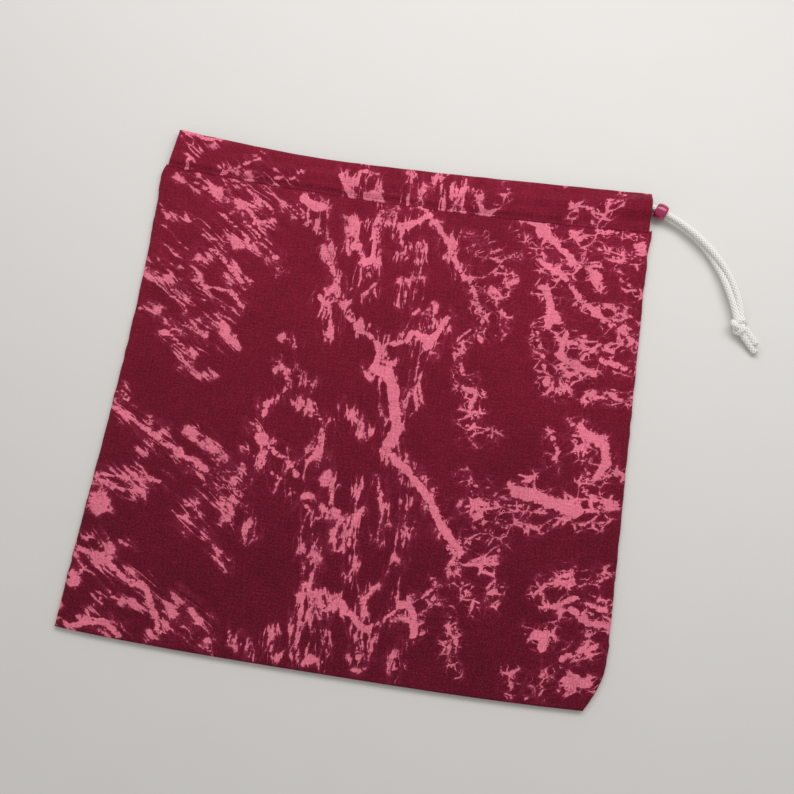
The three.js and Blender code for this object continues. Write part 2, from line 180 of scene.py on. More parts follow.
# %% [markdown]
# Cloth never lies perfectly flat. Low, broad swells stay from the way it was folded, and short
# puckers stand along every seam, where the thread draws the cloth in. Both are sums of a few
# waves with fixed, seeded directions, so the bag comes out the same each time.

# %% Swells and puckers
def wave_field(seed, shortest, longest, count=14):
    """A smooth random surface, about -1 to 1, with waves between two lengths in millimetres."""
    draw = np.random.default_rng(seed)
    length = np.exp(draw.uniform(math.log(shortest), math.log(longest), count))
    turn = draw.uniform(0, 2 * math.pi, count)
    phase = draw.uniform(0, 2 * math.pi, count)

    def height(x, y):
        total = np.zeros(np.broadcast(x, y).shape)
        for size, angle, start in zip(length, turn, phase):
            along = x * math.cos(angle) + y * math.sin(angle)
            total = total + np.sin(2 * math.pi * along / size + start)
        return total / math.sqrt(2 * count)

    return height


SWELLS, CRUMPLES, SEAM_PUCKERS, SIDE_PUCKERS = 0.42, 0.1, 0.24, 0.12
swell = wave_field(seed=3, shortest=34, longest=120)
crumple = wave_field(seed=8, shortest=9, longest=26)
pucker = wave_field(seed=5, shortest=5, longest=12)


def relief(x, y):
    """How far the front of the pouch stands above its plain shape, in millimetres."""
    from_seam = seam_y(x) - y
    from_sides = np.minimum(x - LEFT, RIGHT - x)
    inside = smooth(from_sides / 16) * smooth(y / 16) * smooth((from_seam + 2) / 12)
    broad = SWELLS * swell(x, y) + CRUMPLES * crumple(x, y)
    drawn_in = np.exp(-np.maximum(from_seam, 0) / 7) * smooth((from_seam + 1) / 3)
    side_pull = np.exp(-np.maximum(RIGHT - x, 0) / 6) + np.exp(-np.maximum(y, 0) / 6)
    gathers = SEAM_PUCKERS * pucker(x, y * 0.25) * drawn_in
    side_gathers = SIDE_PUCKERS * pucker(x * 0.5 + 40, y * 0.9) * side_pull
    edge = smooth(from_sides / 5) * smooth((y + 2) / 5)
    return broad * inside + (gathers + side_gathers) * edge


# %% [markdown]
# The print is a marbling: pale ink that was drawn out into streaks, cracks and torn-edged pools.
# Its large shapes are listed one by one: each stroke is a half width in millimetres, then x and y of
# every point that it runs through, and a single point is a dab. The same strokes are stamped again
# beside them, shifted, for the back of the bag and for the casing's far side. The raggedness comes
# later, in the material.

# %% Strokes of the print
POUCH_STROKES = [
    (0.9, -133, 260, -113, 254, -101, 247), (0.8, -119, 260, -106, 248),
    (1.1, -101, 263, -85, 257, -74, 247, -69, 241), (0.9, -99, 248, -88, 248, -80, 243, -67, 240),
    (1.1, -81, 261, -71, 254, -60, 248, -49, 241), (3.2, -56, 256, -50, 252, -45, 253),
    (0.9, -60, 249, -46, 241, -35, 232), (1, -137, 239, -133, 234, -130, 227), (2.6, -132, 234),
    (1.2, -101, 240, -89, 232, -82, 223, -78, 218), (2.2, -84, 227),
    (1, -89, 239, -80, 232, -71, 223, -63, 212), (2.6, -66, 218), (1.4, -82, 238, -71, 239),
    (0.5, -118, 235, -101, 229), (0.9, -107, 223, -98, 225, -90, 223),
    (1.8, -103, 218, -98, 216, -89, 207, -82, 201), (0.5, -128, 216, -107, 211),
    (0.6, -137, 204, -119, 206, -105, 200), (1, -138, 200, -128, 195, -112, 186),
    (1, -121, 198, -107, 198, -97, 189, -89, 184, -83, 180), (1.3, -101, 196, -90, 195, -82, 191),
    (0.7, -121, 186, -98, 188), (0.9, -137, 177, -124, 177, -115, 168, -101, 167, -94, 162),
    (2.4, -96, 167), (0.8, -110, 179, -101, 170), (1, -99, 179, -89, 175, -81, 167, -81, 163),
    (2.4, -84, 170), (1.8, -116, 165, -108, 159, -103, 155), (0.5, -105, 148, -88, 145),
    (1.6, -37, 234, -35, 220, -28, 207, -26, 201), (1.8, -28, 248, -24, 239, -19, 232, -15, 222, -12, 216),
    (3, -23, 232), (3.4, -13, 224), (1.6, -10, 255, -13, 247, -12, 234, -10, 222),
    (0.7, -19, 222, -17, 214, -22, 202), (0.7, -12, 214, -8, 200), (1.6, -3, 255, 2, 245, 4, 238),
    (3.5, 6, 249), (2, 9, 262, 18, 257, 11, 252, 6, 247), (2.2, 22, 252, 29, 243, 34, 234, 41, 223),
    (1.2, 1, 240, 8, 233, 2, 230), (0.9, 17, 241, 16, 220, 16, 201), (1.4, 10, 213, 11, 203),
    (1.8, -37, 199, -31, 193, -28, 184, -28, 177), (1.8, -31, 198, -19, 198),
    (2.2, -19, 189, -12, 184, -3, 179, 1, 175, 1, 164), (1.2, 2, 177, 8, 168, 11, 164),
    (2, 6, 177, 15, 180, 18, 186, 29, 184, 36, 197), (3.8, 27, 180), (1, 23, 179, 24, 168, 23, 152),
    (3.6, 1, 163, 8, 161, 11, 152, 15, 142, 17, 130, 13, 122),
    (2.6, 13, 122, 20, 113, 28, 107, 35, 101, 46, 87, 52, 78, 61, 71), (1.4, -51, 172, -46, 168),
    (1.4, -53, 159, -46, 149, -48, 141), (1, -41, 152, -30, 147), (1.4, -10, 139, -5, 131, 1, 126),
    (1.6, -39, 139, -28, 133, -22, 128, -22, 119), (2.2, -56, 133),
    (1.6, -60, 119, -53, 113, -44, 108, -35, 101, -30, 97), (4, -54, 114), (2.4, -32, 98),
    (1.6, -28, 106, -20, 111, -23, 124), (2.6, -25, 107),
    (1.1, -60, 106, -46, 97, -35, 90, -22, 81, -20, 73, -17, 62, -13, 52), (1.8, -136, 128, -131, 125),
    (1.8, -139, 120, -125, 114, -110, 106, -99, 101, -83, 92), (3, -110, 107),
    (0.8, -94, 111, -87, 112, -78, 106), (1, -107, 101, -96, 101, -82, 94, -64, 94, -57, 85),
    (0.8, -83, 94, -74, 87, -59, 83), (0.7, -73, 99, -64, 94, -57, 88), (0.8, -119, 98, -117, 85, -107, 83),
    (1.6, -139, 82, -125, 82, -103, 83), (1.8, -139, 81, -128, 76, -112, 76),
    (1.3, -137, 67, -132, 72, -129, 67, -136, 66), (0.9, -90, 71, -83, 73, -80, 67, -87, 63, -90, 71),
    (0.6, -80, 62, -73, 57, -60, 44), (1.2, -80, 85, -71, 78, -66, 71, -64, 67), (2.2, -68, 76),
    (1.2, -60, 78, -53, 70, -49, 62), (2.6, -52, 68), (1.2, -139, 47, -130, 49, -126, 43, -120, 38),
    (2, -139, 42, -128, 40, -120, 35, -108, 28, -99, 26, -94, 17, -89, 8), (3, -130, 39), (3, -103, 28),
    (1, -139, 26, -132, 33, -126, 34), (1.4, -115, 46), (2, -133, 2, -128, 6, -117, 6, -108, 1),
    (0.6, -128, 10, -121, 19, -105, 19), (0.8, -89, 17, -78, 11, -67, 6, -60, 1),
    (0.9, -83, 26, -73, 20, -64, 15), (2, -90, 6), (1, -53, 11, -40, 3), (1.6, -30, 14, -28, 5),
    (1.6, -21, 60, -15, 49, -14, 42, -17, 33, -17, 20, -15, 2), (1.6, -14, 99, -10, 83, -6, 74, -5, 63),
    (3, -8, 81), (1.8, -6, 83, -1, 72, 2, 65), (1, 2, 97, 3, 81, 2, 67), (1.2, 13, 99, 17, 88, 16, 69),
    (2.6, 17, 88), (0.9, 29, 92, 30, 78, 29, 53), (0.9, 3, 60, 6, 45),
    (2.2, -12, 38, -5, 29, 1, 35, 8, 31, 13, 26, 19, 22), (3.2, 5, 32), (1, 17, 44, 14, 29),
    (1.4, 20, 24, 26, 29, 33, 37, 36, 40), (1.4, 13, 24, 14, 13, 17, 6), (2.4, 17, 10),
    (0.8, -11, 25, -9, 3), (0.8, -3, 18, -2, 3), (2.4, 32, 39, 38, 39, 41, 33, 43, 24), (3, 42, 29),
    (1.4, 43, 42, 48, 48, 52, 42), (1.4, 59, 37, 61, 25, 62, 17, 66, 11), (1.6, 35, 12, 35, 6),
    (1.2, 61, 71, 59, 64, 64, 53, 70, 46, 71, 41), (2.2, 69, 49),
    (1.1, 59, 62, 70, 65, 79, 60, 81, 53, 80, 44), (2.4, 80, 52),
    (1.1, 66, 89, 75, 83, 80, 78, 81, 70, 70, 65), (0.9, 59, 76, 68, 78, 75, 79),
    (1, 59, 94, 66, 98, 70, 90, 66, 89), (0.9, 71, 88, 82, 87, 95, 90, 100, 90),
    (3.8, 86, 106, 95, 106, 106, 103, 120, 101), (1.2, 91, 115, 92, 108),
    (1.2, 80, 99, 100, 97, 112, 95, 123, 94, 134, 97), (1.8, 102, 139, 105, 131, 104, 126),
    (3, 118, 144, 129, 139, 132, 130, 129, 122), (1.2, 120, 136, 118, 129, 123, 122),
    (1.6, 120, 119, 130, 120, 139, 124), (1.8, 121, 113, 130, 108, 139, 108),
    (1.6, 120, 101, 130, 103, 139, 105), (0.6, 109, 63, 114, 67, 123, 73),
    (1, 104, 57, 109, 60, 123, 61, 134, 67, 140, 69),
    (1.8, 104, 57, 107, 50, 112, 50, 123, 55, 130, 53, 140, 52), (2.2, 121, 50, 130, 44, 140, 44),
    (2.6, 105, 34, 111, 35, 109, 27), (2, 120, 24, 127, 28, 137, 33), (3, 123, 13, 134, 14),
    (1, 105, 2, 112, 11, 118, 17), (1.6, 95, 11, 96, 4), (0.6, 50, 138, 71, 135), (0.8, 52, 135, 59, 131),
    (0.8, 55, 112, 64, 106, 71, 105), (2.6, 75, 262, 86, 256, 93, 248, 98, 245, 104, 238), (4.5, 82, 257),
    (0.8, 68, 252, 77, 250), (1.2, 100, 261, 109, 254, 123, 248, 139, 248),
    (1.3, 112, 262, 134, 262, 139, 256), (1.6, 100, 239, 109, 239, 116, 234, 120, 229), (4, 116, 234),
    (2, 82, 239, 98, 231, 107, 220, 120, 211, 130, 206, 139, 200), (3.5, 118, 213), (3.2, 133, 206),
    (1.2, 125, 241, 130, 234, 139, 229), (2.8, 85, 223, 89, 222, 93, 211, 91, 202), (1, 95, 204, 104, 200),
    (1.2, 121, 216, 130, 218, 138, 213), (2.4, 102, 198, 100, 186, 109, 181, 120, 177),
    (1.8, 104, 193, 112, 193), (1.4, 109, 182, 120, 193, 130, 197, 139, 198), (2.2, 123, 186, 137, 184),
    (1.4, 86, 197, 89, 189, 93, 177, 96, 168, 98, 164), (3, 95, 169), (1.8, 100, 179, 107, 175, 105, 165),
    (1.4, 120, 163, 130, 166, 141, 166), (1.4, 111, 148, 118, 145, 123, 139), (4, 127, 140),
    (0.8, 43, 241, 59, 241, 77, 243), (0.7, 41, 248, 50, 249, 55, 241),
    (1, 41, 223, 48, 223, 59, 229, 61, 234, 54, 239), (1, 61, 234, 68, 227, 67, 222),
    (1.5, 41, 225, 50, 213, 55, 200, 57, 193), (0.8, 48, 213, 59, 218, 66, 218),
    (1, 55, 216, 64, 209, 66, 202, 66, 195), (2.4, 66, 204),
    (1.2, 50, 193, 43, 186, 46, 175, 48, 168, 55, 162), (1.6, 29, 200, 34, 193, 29, 182),
    (2, 50, 159, 57, 157, 55, 148, 59, 145), (0.8, 27, 148),
]
CASING_STROKES = [
    (1.8, -133, 286, -122, 285, -112, 286), (1.2, -127, 283, -125, 272, -128, 264),
    (1.2, -106, 266, -98, 270, -85, 279), (0.7, -90, 266, -82, 268), (0.9, -76, 268, -62, 271),
    (2.2, -37, 277, -33, 270, -28, 265), (1.7, -20, 281, -26, 281, -28, 271), (0.7, -18, 280, -17, 265),
    (0.9, -12, 277, -13, 264), (1.4, 5, 283, 3, 265), (0.8, 9, 276, 9, 266), (1.3, 20, 282, 25, 265),
    (1.4, 27, 281, 31, 265), (1.4, 34, 284, 35, 265), (0.5, 44, 273, 48, 264), (0.5, 57, 282, 54, 264),
    (0.5, 98, 273, 99, 265), (1.1, 104, 275, 111, 272, 109, 266), (0.6, 120, 277, 130, 288),
    (0.5, 102, 263, 120, 272),
]
POUCH_STAMPS = (0.0, 0.0), (-285.0, -41.0), (-299.0, 221.0)
CASING_STAMPS = (0.0, 0.0), (37.0, 27.0), (-52.0, 54.0)
STROKE_REACH, STROKE_DRIFT, NO_INK = 14.0, 0.8, -12.0


def stamped(table, stamps):
    """Every stroke of the table at every stamp, as a half width and a list of points."""
    return [(half, [(x + dx, y + dy) for x, y in zip(flat[::2], flat[1::2])])
            for dx, dy in stamps for half, *flat in table]


drift = wave_field(seed=21, shortest=7, longest=34, count=24)


def ink_field(strokes, x, y):
    """How far inside the nearest stroke a place lies, in millimetres, and below 0 outside it."""
    x, y = x + STROKE_DRIFT * drift(x, y), y + STROKE_DRIFT * drift(y + 300, x)
    ink = np.full(np.shape(x), NO_INK)
    for half, points in strokes:
        for (ax, ay), (bx, by) in zip(points, points[1:] or points):
            beside = (x > min(ax, bx) - STROKE_REACH) & (x < max(ax, bx) + STROKE_REACH)
            near = beside & (y > min(ay, by) - STROKE_REACH) & (y < max(ay, by) + STROKE_REACH)
            px, py = x[near] - ax, y[near] - ay
            sx, sy = bx - ax, by - ay
            t = np.clip((px * sx + py * sy) / max(sx * sx + sy * sy, 0.01), 0, 1)
            ink[near] = np.maximum(ink[near], half - np.hypot(px - t * sx, py - t * sy))
    return ink


pouch_strokes = stamped(POUCH_STROKES, POUCH_STAMPS)
casing_strokes = stamped(CASING_STROKES, CASING_STAMPS)
print("Strokes on the front of the pouch:", len(POUCH_STROKES))


# %% [markdown]
# A fine grid of points becomes a mesh of quads. Each face corner also gets its place on the flat
# cloth in metres, as a UV map, because print and weave belong to the cloth and not to the space
# that it lies in.

# %% From grids of points to meshes
def smooth_mesh(name, verts, faces, uv_name=None, uv=None):
    """A smooth mesh from points in metres, with a UV map where the piece needs one."""
    mesh = bpy.data.meshes.new(name)
    mesh.from_pydata(verts.tolist(), [], faces)
    if uv_name:
        layer = mesh.uv_layers.new(name=uv_name)
        layer.data.foreach_set("uv", uv.astype(np.float32).ravel())
    mesh.shade_smooth()
    return mesh


def give_values(mesh, name, at_points):
    layer = mesh.attributes.new(name, "FLOAT", "POINT")
    layer.data.foreach_set("value", at_points.astype(np.float32))


def grid_mesh(name, grids, strokes, merge=1e-6):
    """One mesh from several grids: each is (points in mm, cloth places in mm), rows by columns."""
    verts, faces, cloth_places, inks = [], [], [], []
    base = 0
    for points, cloth in grids:
        inks.append(ink_field(strokes, cloth[..., 0].ravel(), cloth[..., 1].ravel()))
        rows, columns = points.shape[:2]
        verts.append(placed(points.reshape(-1, 3)))
        index = base + np.arange(rows * columns).reshape(rows, columns)
        quads = np.stack([index[:-1, :-1], index[:-1, 1:], index[1:, 1:], index[1:, :-1]], -1)
        faces.append(quads.reshape(-1, 4))
        cloth_places.append(cloth.reshape(-1, 2)[faces[-1].ravel() - base] * MM)
        base += rows * columns
    faces = np.concatenate(faces).tolist()
    mesh = smooth_mesh(name, np.concatenate(verts), faces, "cloth", np.concatenate(cloth_places))
    give_values(mesh, "ink", np.concatenate(inks))
    piece = in_scene(name, mesh)
    weld = piece.modifiers.new("weld", "WELD")
    weld.merge_threshold = merge
    return piece


def thicken(piece, thickness):
    solid = piece.modifiers.new("cloth", "SOLIDIFY")
    solid.thickness = thickness * MM
    solid.offset = -1
    return piece


def settle(piece):
    """Turns the piece and its modifiers into one plain mesh."""
    evaluated = piece.evaluated_get(bpy.context.evaluated_depsgraph_get())
    mesh = bpy.data.meshes.new_from_object(evaluated)
    piece.modifiers.clear()
    piece.data = mesh
    return piece


def toward(length, edge, step):
    """Stations from 0 to length: the edge's own at both ends, and about a step apart between."""
    inner = np.linspace(edge[-1], length - edge[-1], max(2, round((length - 2 * edge[-1]) / step)))
    return np.concatenate([edge, inner[1:-1], length - np.array(edge)[::-1]])


# %% [markdown]
# The pouch is one skin of cloth: a front and a back that meet in the fold and in the seams, open
# at the mouth. A sewn and turned edge rolls over in a small round, with a shallow groove where
# the two layers meet. The skin is drawn as two grids and then thickened inwards by the cloth.

# %% Pouch
EDGE_STATIONS = [0, 0.03, 0.12, 0.3, 0.55, 0.9, 1.3, 1.9, 2.8, 4.2]
GRID_STEP = 2.0
GROOVE, GROOVE_WIDTH = 0.35, 0.08
UNEVEN_LONG, UNEVEN_SHORT = 0.22, 0.12
TURNED_IN = (0.25, 0.5), (0.1, 1.1)


def pouch_top(x, y, u, v):
    """Height of the plain front above the table."""
    sides = smooth(u * BAG_WIDTH / LOFT_RISE) * smooth((1 - u) * BAG_WIDTH / LOFT_RISE)
    flat = EDGE_STACK + LOFT * sides * smooth(v * POUCH_HEIGHT / LOFT_RISE)
    to_mouth = smooth((y - seam_y(x) + MOUTH_RISE) / (MOUTH_RISE - ALLOWANCE - 1))
    return lerp(flat, MOUTH_STACK + gape(x), to_mouth)


def pouch_skin():
    across = toward(BAG_WIDTH, EDGE_STATIONS, GRID_STEP) / BAG_WIDTH
    up = toward(POUCH_HEIGHT, EDGE_STATIONS, GRID_STEP)
    up = np.concatenate([up[up < POUCH_HEIGHT - 1.5], [POUCH_HEIGHT - 0.9, POUCH_HEIGHT - 0.3]])
    u, v = np.meshgrid(across, up / POUCH_HEIGHT)
    x, y = pouch_outline(u, v)
    top = pouch_top(x, y, u, v)
    sides = [u * BAG_WIDTH, (1 - u) * BAG_WIDTH, v * POUCH_HEIGHT]
    fullness = np.ones_like(x)
    for distance in sides:
        fullness = fullness * rounded(distance, top / 2)
    seam_right, seam_bottom = (GROOVE * np.exp(-side / GROOVE_WIDTH) for side in sides[1:])
    front_z = top / 2 + top / 2 * fullness + relief(x, y) * fullness
    back_z = top / 2 - top / 2 * fullness
    cut = np.stack([x, y], -1)
    uneven = UNEVEN_LONG * pucker(0 * x, y * 0.6) + UNEVEN_SHORT * pucker(0 * x + 50, y * 1.7)
    near_side = np.exp(-np.minimum(sides[0], sides[1]) / 5)
    x, y = x - seam_right + uneven * near_side, y + seam_bottom
    front = np.stack([x, y, front_z], -1)
    back = np.stack([x, y, back_z], -1)
    for y_step, z_step in TURNED_IN:
        front = np.concatenate([front, front[-1:] + [0, y_step, -z_step]])
        back = np.concatenate([back, back[-1:] + [0, y_step, z_step]])
        cut = np.concatenate([cut, cut[-1:] + [0, z_step]])
    folded_out = np.stack([2 * LEFT - cut[..., 0], cut[..., 1]], -1)
    return [(front, cut), (back[:, ::-1], folded_out[:, ::-1])]


pouch = grid_mesh("pouch_cloth", pouch_skin(), pouch_strokes, merge=2e-5)
pouch = settle(thicken(pouch, CLOTH))
print("Pouch triangles:", 2 * len(pouch.data.polygons))


# %% [markdown]
# The casing is a strip folded lengthwise, so its two raw edges go into the mouth seam together
# and its fold stands above it. It follows the mouth all round: a front lip and a back lip, each
# with room for the cord, which run into each other at the closed left end. One skin follows the
# whole section, up the front, over the fold, down between the lips, up again and down the back.
# The runs are the points that the cord goes through inside each lip.

# %% Casing
FRONT_RUN = [(-126, 269.6), (-95, 268.4), (-50, 267.4), (0, 267.6), (50, 269), (90, 272.2),
             (106, 274.6), (121, 277.4), (141.8, 280.2)]
BACK_RUN = [(-126, 281.4), (-112, 279.6), (-88, 276.8), (-40, 275), (10, 275.6), (60, 277.6),
            (108, 280), (141.8, 280.2)]
STRIP_STATIONS = [0, 0.03, 0.12, 0.3, 0.6, 1, 1.5, 2.1, 3]
STRIP_COLUMNS, LIP_ROWS = 170, 22
FOLD_STATIONS = [0.07, 0.045, 0.026, 0.013, 0.005, 0.001, 0]
SEAM_TUCK = 1.4
SEAM_PUFF, PUFF_REACH = 0.5, 2.5
CLOSED_FROM, CLOSED_OVER = 3, 9
LAYERS_APART = 0.4
VALLEY_RISE, VALLEY_DROP = 1.0, 0.6
CASING_PUCKERS, CASING_CRUMPLES = 0.2, 0.3
STRIP_PRINT_AT = 264


def through(points, step=1.0):
    """A smooth line through the points, as a centripetal Catmull-Rom spline."""
    points = np.asarray(points, float)
    ends = [2 * points[0] - points[1]], [2 * points[-1] - points[-2]]
    p = np.concatenate([ends[0], points, ends[1]])
    line = []
    for k in range(1, len(p) - 2):
        p0, p1, p2, p3 = p[k - 1:k + 3]
        t1 = np.linalg.norm(p1 - p0) ** 0.5
        t2 = t1 + np.linalg.norm(p2 - p1) ** 0.5
        t3 = t2 + np.linalg.norm(p3 - p2) ** 0.5
        count = max(2, math.ceil(np.linalg.norm(p2 - p1) / step))
        t = np.linspace(t1, t2, count, endpoint=False)[:, None]
        a1 = lerp(p0, p1, t / t1)
        a2 = lerp(p1, p2, (t - t1) / (t2 - t1))
        a3 = lerp(p2, p3, (t - t2) / (t3 - t2))
        b1 = lerp(a1, a2, t / t2)
        b2 = lerp(a2, a3, (t - t1) / (t3 - t1))
        line.append(lerp(b1, b2, (t - t1) / (t2 - t1)))
    line.append(points[-1:])
    return np.concatenate(line)


front_line, back_line = through(FRONT_RUN), through(BACK_RUN)


def lip_thickness(x, y, run):
    """Both layers of a lip, with the cord between them along its run."""
    off_run = abs(y - np.interp(x, run[:, 0], run[:, 1]))
    ridge = 1 - smooth((off_run - RIDGE_FLAT) / (RIDGE_FOOT - RIDGE_FLAT))
    apart = smooth((y - seam_y(x)) / SEAM_RISE)
    height = lerp(RIDGE, OPEN_RIDGE, smooth((x - BAND_END + OPEN_FROM) / OPEN_OVER))
    return TONGUE + apart * (BAND_FLAT - TONGUE + (height - BAND_FLAT) * ridge)


def back_lip(x, y):
    low = TONGUE_LOW * (1 - smooth((y - seam_y(x)) / SEAM_RISE))
    return low, low + lip_thickness(x, y, back_line)


def front_lip(x, y):
    low = back_lip(x, y)[1] + CLEAR + gape(x)
    return low, low + lip_thickness(x, y, front_line)


def casing_relief(x, y):
    """Short folds across the casing, where the strip is drawn onto its seam."""
    height = np.clip((y - seam_y(x)) / BAND_HEIGHT, 0, 1)
    drawn_in = CASING_PUCKERS * pucker(x + 90, y * 0.2) * np.exp(-3.2 * height)
    return CASING_CRUMPLES * crumple(x * 0.8, y * 0.5) * smooth(height * 4) + drawn_in


def casing_skin():
    length = BAND_END - LEFT - BAND_LEFT_INSET
    s = np.concatenate([STRIP_STATIONS, np.linspace(4.4, length, STRIP_COLUMNS)]) / length
    rise = 1 - np.concatenate([np.linspace(1, 0.1, LIP_ROWS), FOLD_STATIONS])
    s, v = np.meshgrid(s, rise)
    edge = LEFT + BAND_LEFT_INSET + BAND_LEFT_SLANT * v
    x = lerp(edge, BAND_END + BAND_RIGHT_SLANT * (1 - v), s)
    seam = seam_y(x) - SEAM_TUCK
    closed = 1 - smooth((x - POCKET_END + CLOSED_FROM) / CLOSED_OVER)
    front_y = lerp(seam, front_fold_y(x), v)
    back_y = lerp(seam, front_fold_y(x) - BACK_LIP_SHORT * (1 - closed), v)
    fold = rounded((1 - v) * BAND_HEIGHT, BAND_FLAT * 0.7) * rounded(x - edge, END_FOLD)
    back_low, back_high = back_lip(x, back_y)
    front_low, front_high = front_lip(x, front_y)
    room = smooth((POCKET_END - x) / 6) * smooth((front_y - seam_y(x)) / 6)
    swollen = np.maximum(front_high, lerp(BAND_FLAT, BAND_FLAT + CLEAR + RIDGE, room))
    front_high = lerp(front_high, swollen, closed) + casing_relief(x, front_y) * (1 - 0.5 * closed)
    front_high = front_high + SEAM_PUFF * np.exp(-np.clip(front_y - seam_y(x), 0, None) / PUFF_REACH)
    front_mid = lerp((front_low + front_high) / 2, (back_low + front_high) / 2, closed)
    back_mid = lerp((back_low + back_high) / 2, (back_low + front_high) / 2, closed)
    front_face = front_mid + (front_high - front_mid) * fold
    apart = LAYERS_APART * closed * (1 - v)
    front_inner = front_mid - (front_mid - front_low) * fold * (1 - closed) - apart
    back_inner = back_mid + (back_high - back_mid) * fold * (1 - closed) + apart
    back_face = back_mid - (back_mid - back_low) * fold
    valley = lerp(seam_y(x) + VALLEY_RISE, front_fold_y(x) - VALLEY_DROP, closed)
    inner_front_y = np.maximum(front_y, np.minimum(valley, front_y[-1:]))
    inner_back_y = np.maximum(back_y, np.minimum(valley, back_y[-1:]))
    parts = [(front_y, front_face), (inner_front_y[::-1], front_inner[::-1]),
             (inner_back_y, back_inner), (back_y[::-1], back_face[::-1])]
    flips = [x, x[::-1], x, x[::-1]]
    points = np.concatenate([np.stack([px, py, pz], -1) for px, (py, pz) in zip(flips, parts)])
    rises = np.concatenate([v, 2 - v[::-1], 2 + v, 4 - v[::-1]]) * BAND_HEIGHT
    cloth = np.stack([np.concatenate(flips), rises + STRIP_PRINT_AT], -1)
    return [(points, cloth)]


casing = grid_mesh("casing_cloth", casing_skin(), casing_strokes, merge=1e-5)
casing = settle(thicken(casing, CLOTH * 0.9))
# Nothing of the thickened cloth stands out beyond the edge of the closed end.
where = np.array([vertex.co for vertex in casing.data.vertices]) / MM - ORIGIN
height = (where[:, 1] - seam_y(where[:, 0])) / BAND_HEIGHT
fold_x = LEFT + BAND_LEFT_INSET + BAND_LEFT_SLANT * np.clip(height, 0, 1)
where[:, 0] = np.maximum(where[:, 0], fold_x)
casing.data.vertices.foreach_set("co", placed(where).astype(np.float32).ravel())
print("Casing triangles:", 2 * len(casing.data.polygons))


# %% [markdown]
# One soft, white, braided cord does all the work. It starts in the knot, goes through the bead and
# into the front of the casing, turns round at the closed end and comes back along the other side
# to the same knot. These are the route's points in the drawing, from the knot out and back again.
# Where the two strands run as a pair, the tail's points also say how far the pair is turned and how
# far each strand stands off the pair's own line. Both are pressed together in the bead.

# %% Route of the cord
TAIL_HEIGHT = 5.0
TAIL_CENTRE, TAIL_RADIUS = np.array([120.2, 206.0]), 77.6
TAIL = [(144.7, 279.63, 0, 1.2), (147.93, 278.48, 0, 1.2), (155.24, 275.24, 0, 1.3),
        (163.02, 270.72, 0, 1.4), (170.22, 265.33, 4, 1.5), (176.75, 259.14, 16, 1.5),
        (182.52, 252.24, 38, 1.6), (187.45, 244.72, 64, 1.65), (192.25, 234.83, 86, 1.85),
        (194.37, 228.82, 90, 1.7), (196.7, 219.4, 90, 1.2)]
CORD_TURN = [(-130.2, 271.3), (-132, 275.5), (-130.2, 279.7)]


def pair_side(x, y, turned):
    """Direction from the middle of the pair to its first strand."""
    out = np.array([x, y]) - TAIL_CENTRE
    out = out / np.linalg.norm(out)
    angle = math.radians(turned)
    return np.array([out[0] * math.sin(angle), out[1] * math.sin(angle), math.cos(angle)])


def tail_strand(side):
    return [np.array([x, y, TAIL_HEIGHT]) + side * apart * pair_side(x, y, turned)
            for x, y, turned, apart in TAIL]


def run_strand(run, lip):
    return [np.array([x, y, sum(lip(x, y)) / 2]) for x, y in run]


front_strand = run_strand(FRONT_RUN, front_lip)
back_strand = run_strand(BACK_RUN, back_lip)
turn_z = [lerp(front_strand[0][2], back_strand[0][2], k / 4) for k in (1, 2, 3)]
turn_strand = [np.array([x, y, z]) for (x, y), z in zip(CORD_TURN, turn_z)]
route = tail_strand(1)[::-1] + front_strand[::-1] + turn_strand + back_strand + tail_strand(-1)
tail_sides = [pair_side(x, y, turned) for x, y, turned, apart in TAIL]
upright = [np.array([0, 0, 1.0])] * len(FRONT_RUN + CORD_TURN + BACK_RUN)
route_sides = tail_sides[::-1] + upright + [-side for side in tail_sides]


def travelled(line):
    """Distance along a line of points, from its start."""
    return np.concatenate([[0], np.cumsum(np.linalg.norm(np.diff(line, axis=0), axis=1))])


cord_line = through(route, step=0.25)
cord_at = travelled(cord_line)
nearest = [np.linalg.norm(cord_line - p, axis=1).argmin() for p in route]
cord_side = np.stack([np.interp(cord_at, cord_at[nearest], [s[k] for s in route_sides])
                      for k in range(3)], -1)
exits = nearest[len(TAIL)], nearest[-len(TAIL) - 1]
print("Cord from one side of the knot to the other in mm:", round(cord_at[-1], 1))


# %% [markdown]
# The cord is a hollow braid: six ends turn to the right and six to the left, and each goes over
# one and under one. A tube with fine rings follows the route, and every point of it is lifted by
# the end that lies on top there. Soft cord gives way where two strands press on each other, so
# the tube is oval. The faces keep how far round and how far along they are, for the fibres.

# %% Braided tubes
BRAID_ENDS, BRAID_PITCH = 6, 13.2
BRAID_DEPTH = 0.6
CROWN_LOW, CROWN_SWING = 0.72, 0.28


def braid_height(around, along):
    """0 in the gaps of the braid and 1 on the crown of the upper ends. around runs from 0 to 1."""
    turns, steps = BRAID_ENDS * around, BRAID_ENDS * along / BRAID_PITCH
    p, q = turns + steps, turns - steps
    over = np.cos(math.pi * (q - 0.5 + np.floor(p)))
    under = -np.cos(math.pi * (p - 0.5 + np.floor(q)))
    crowns = [np.sqrt(np.clip(1 - (2 * (lay % 1) - 1) ** 2, 0, 1)) * (CROWN_LOW + CROWN_SWING * top)
              for lay, top in ((p, over), (q, under))]
    return np.clip(np.maximum(*crowns), 0, 1)


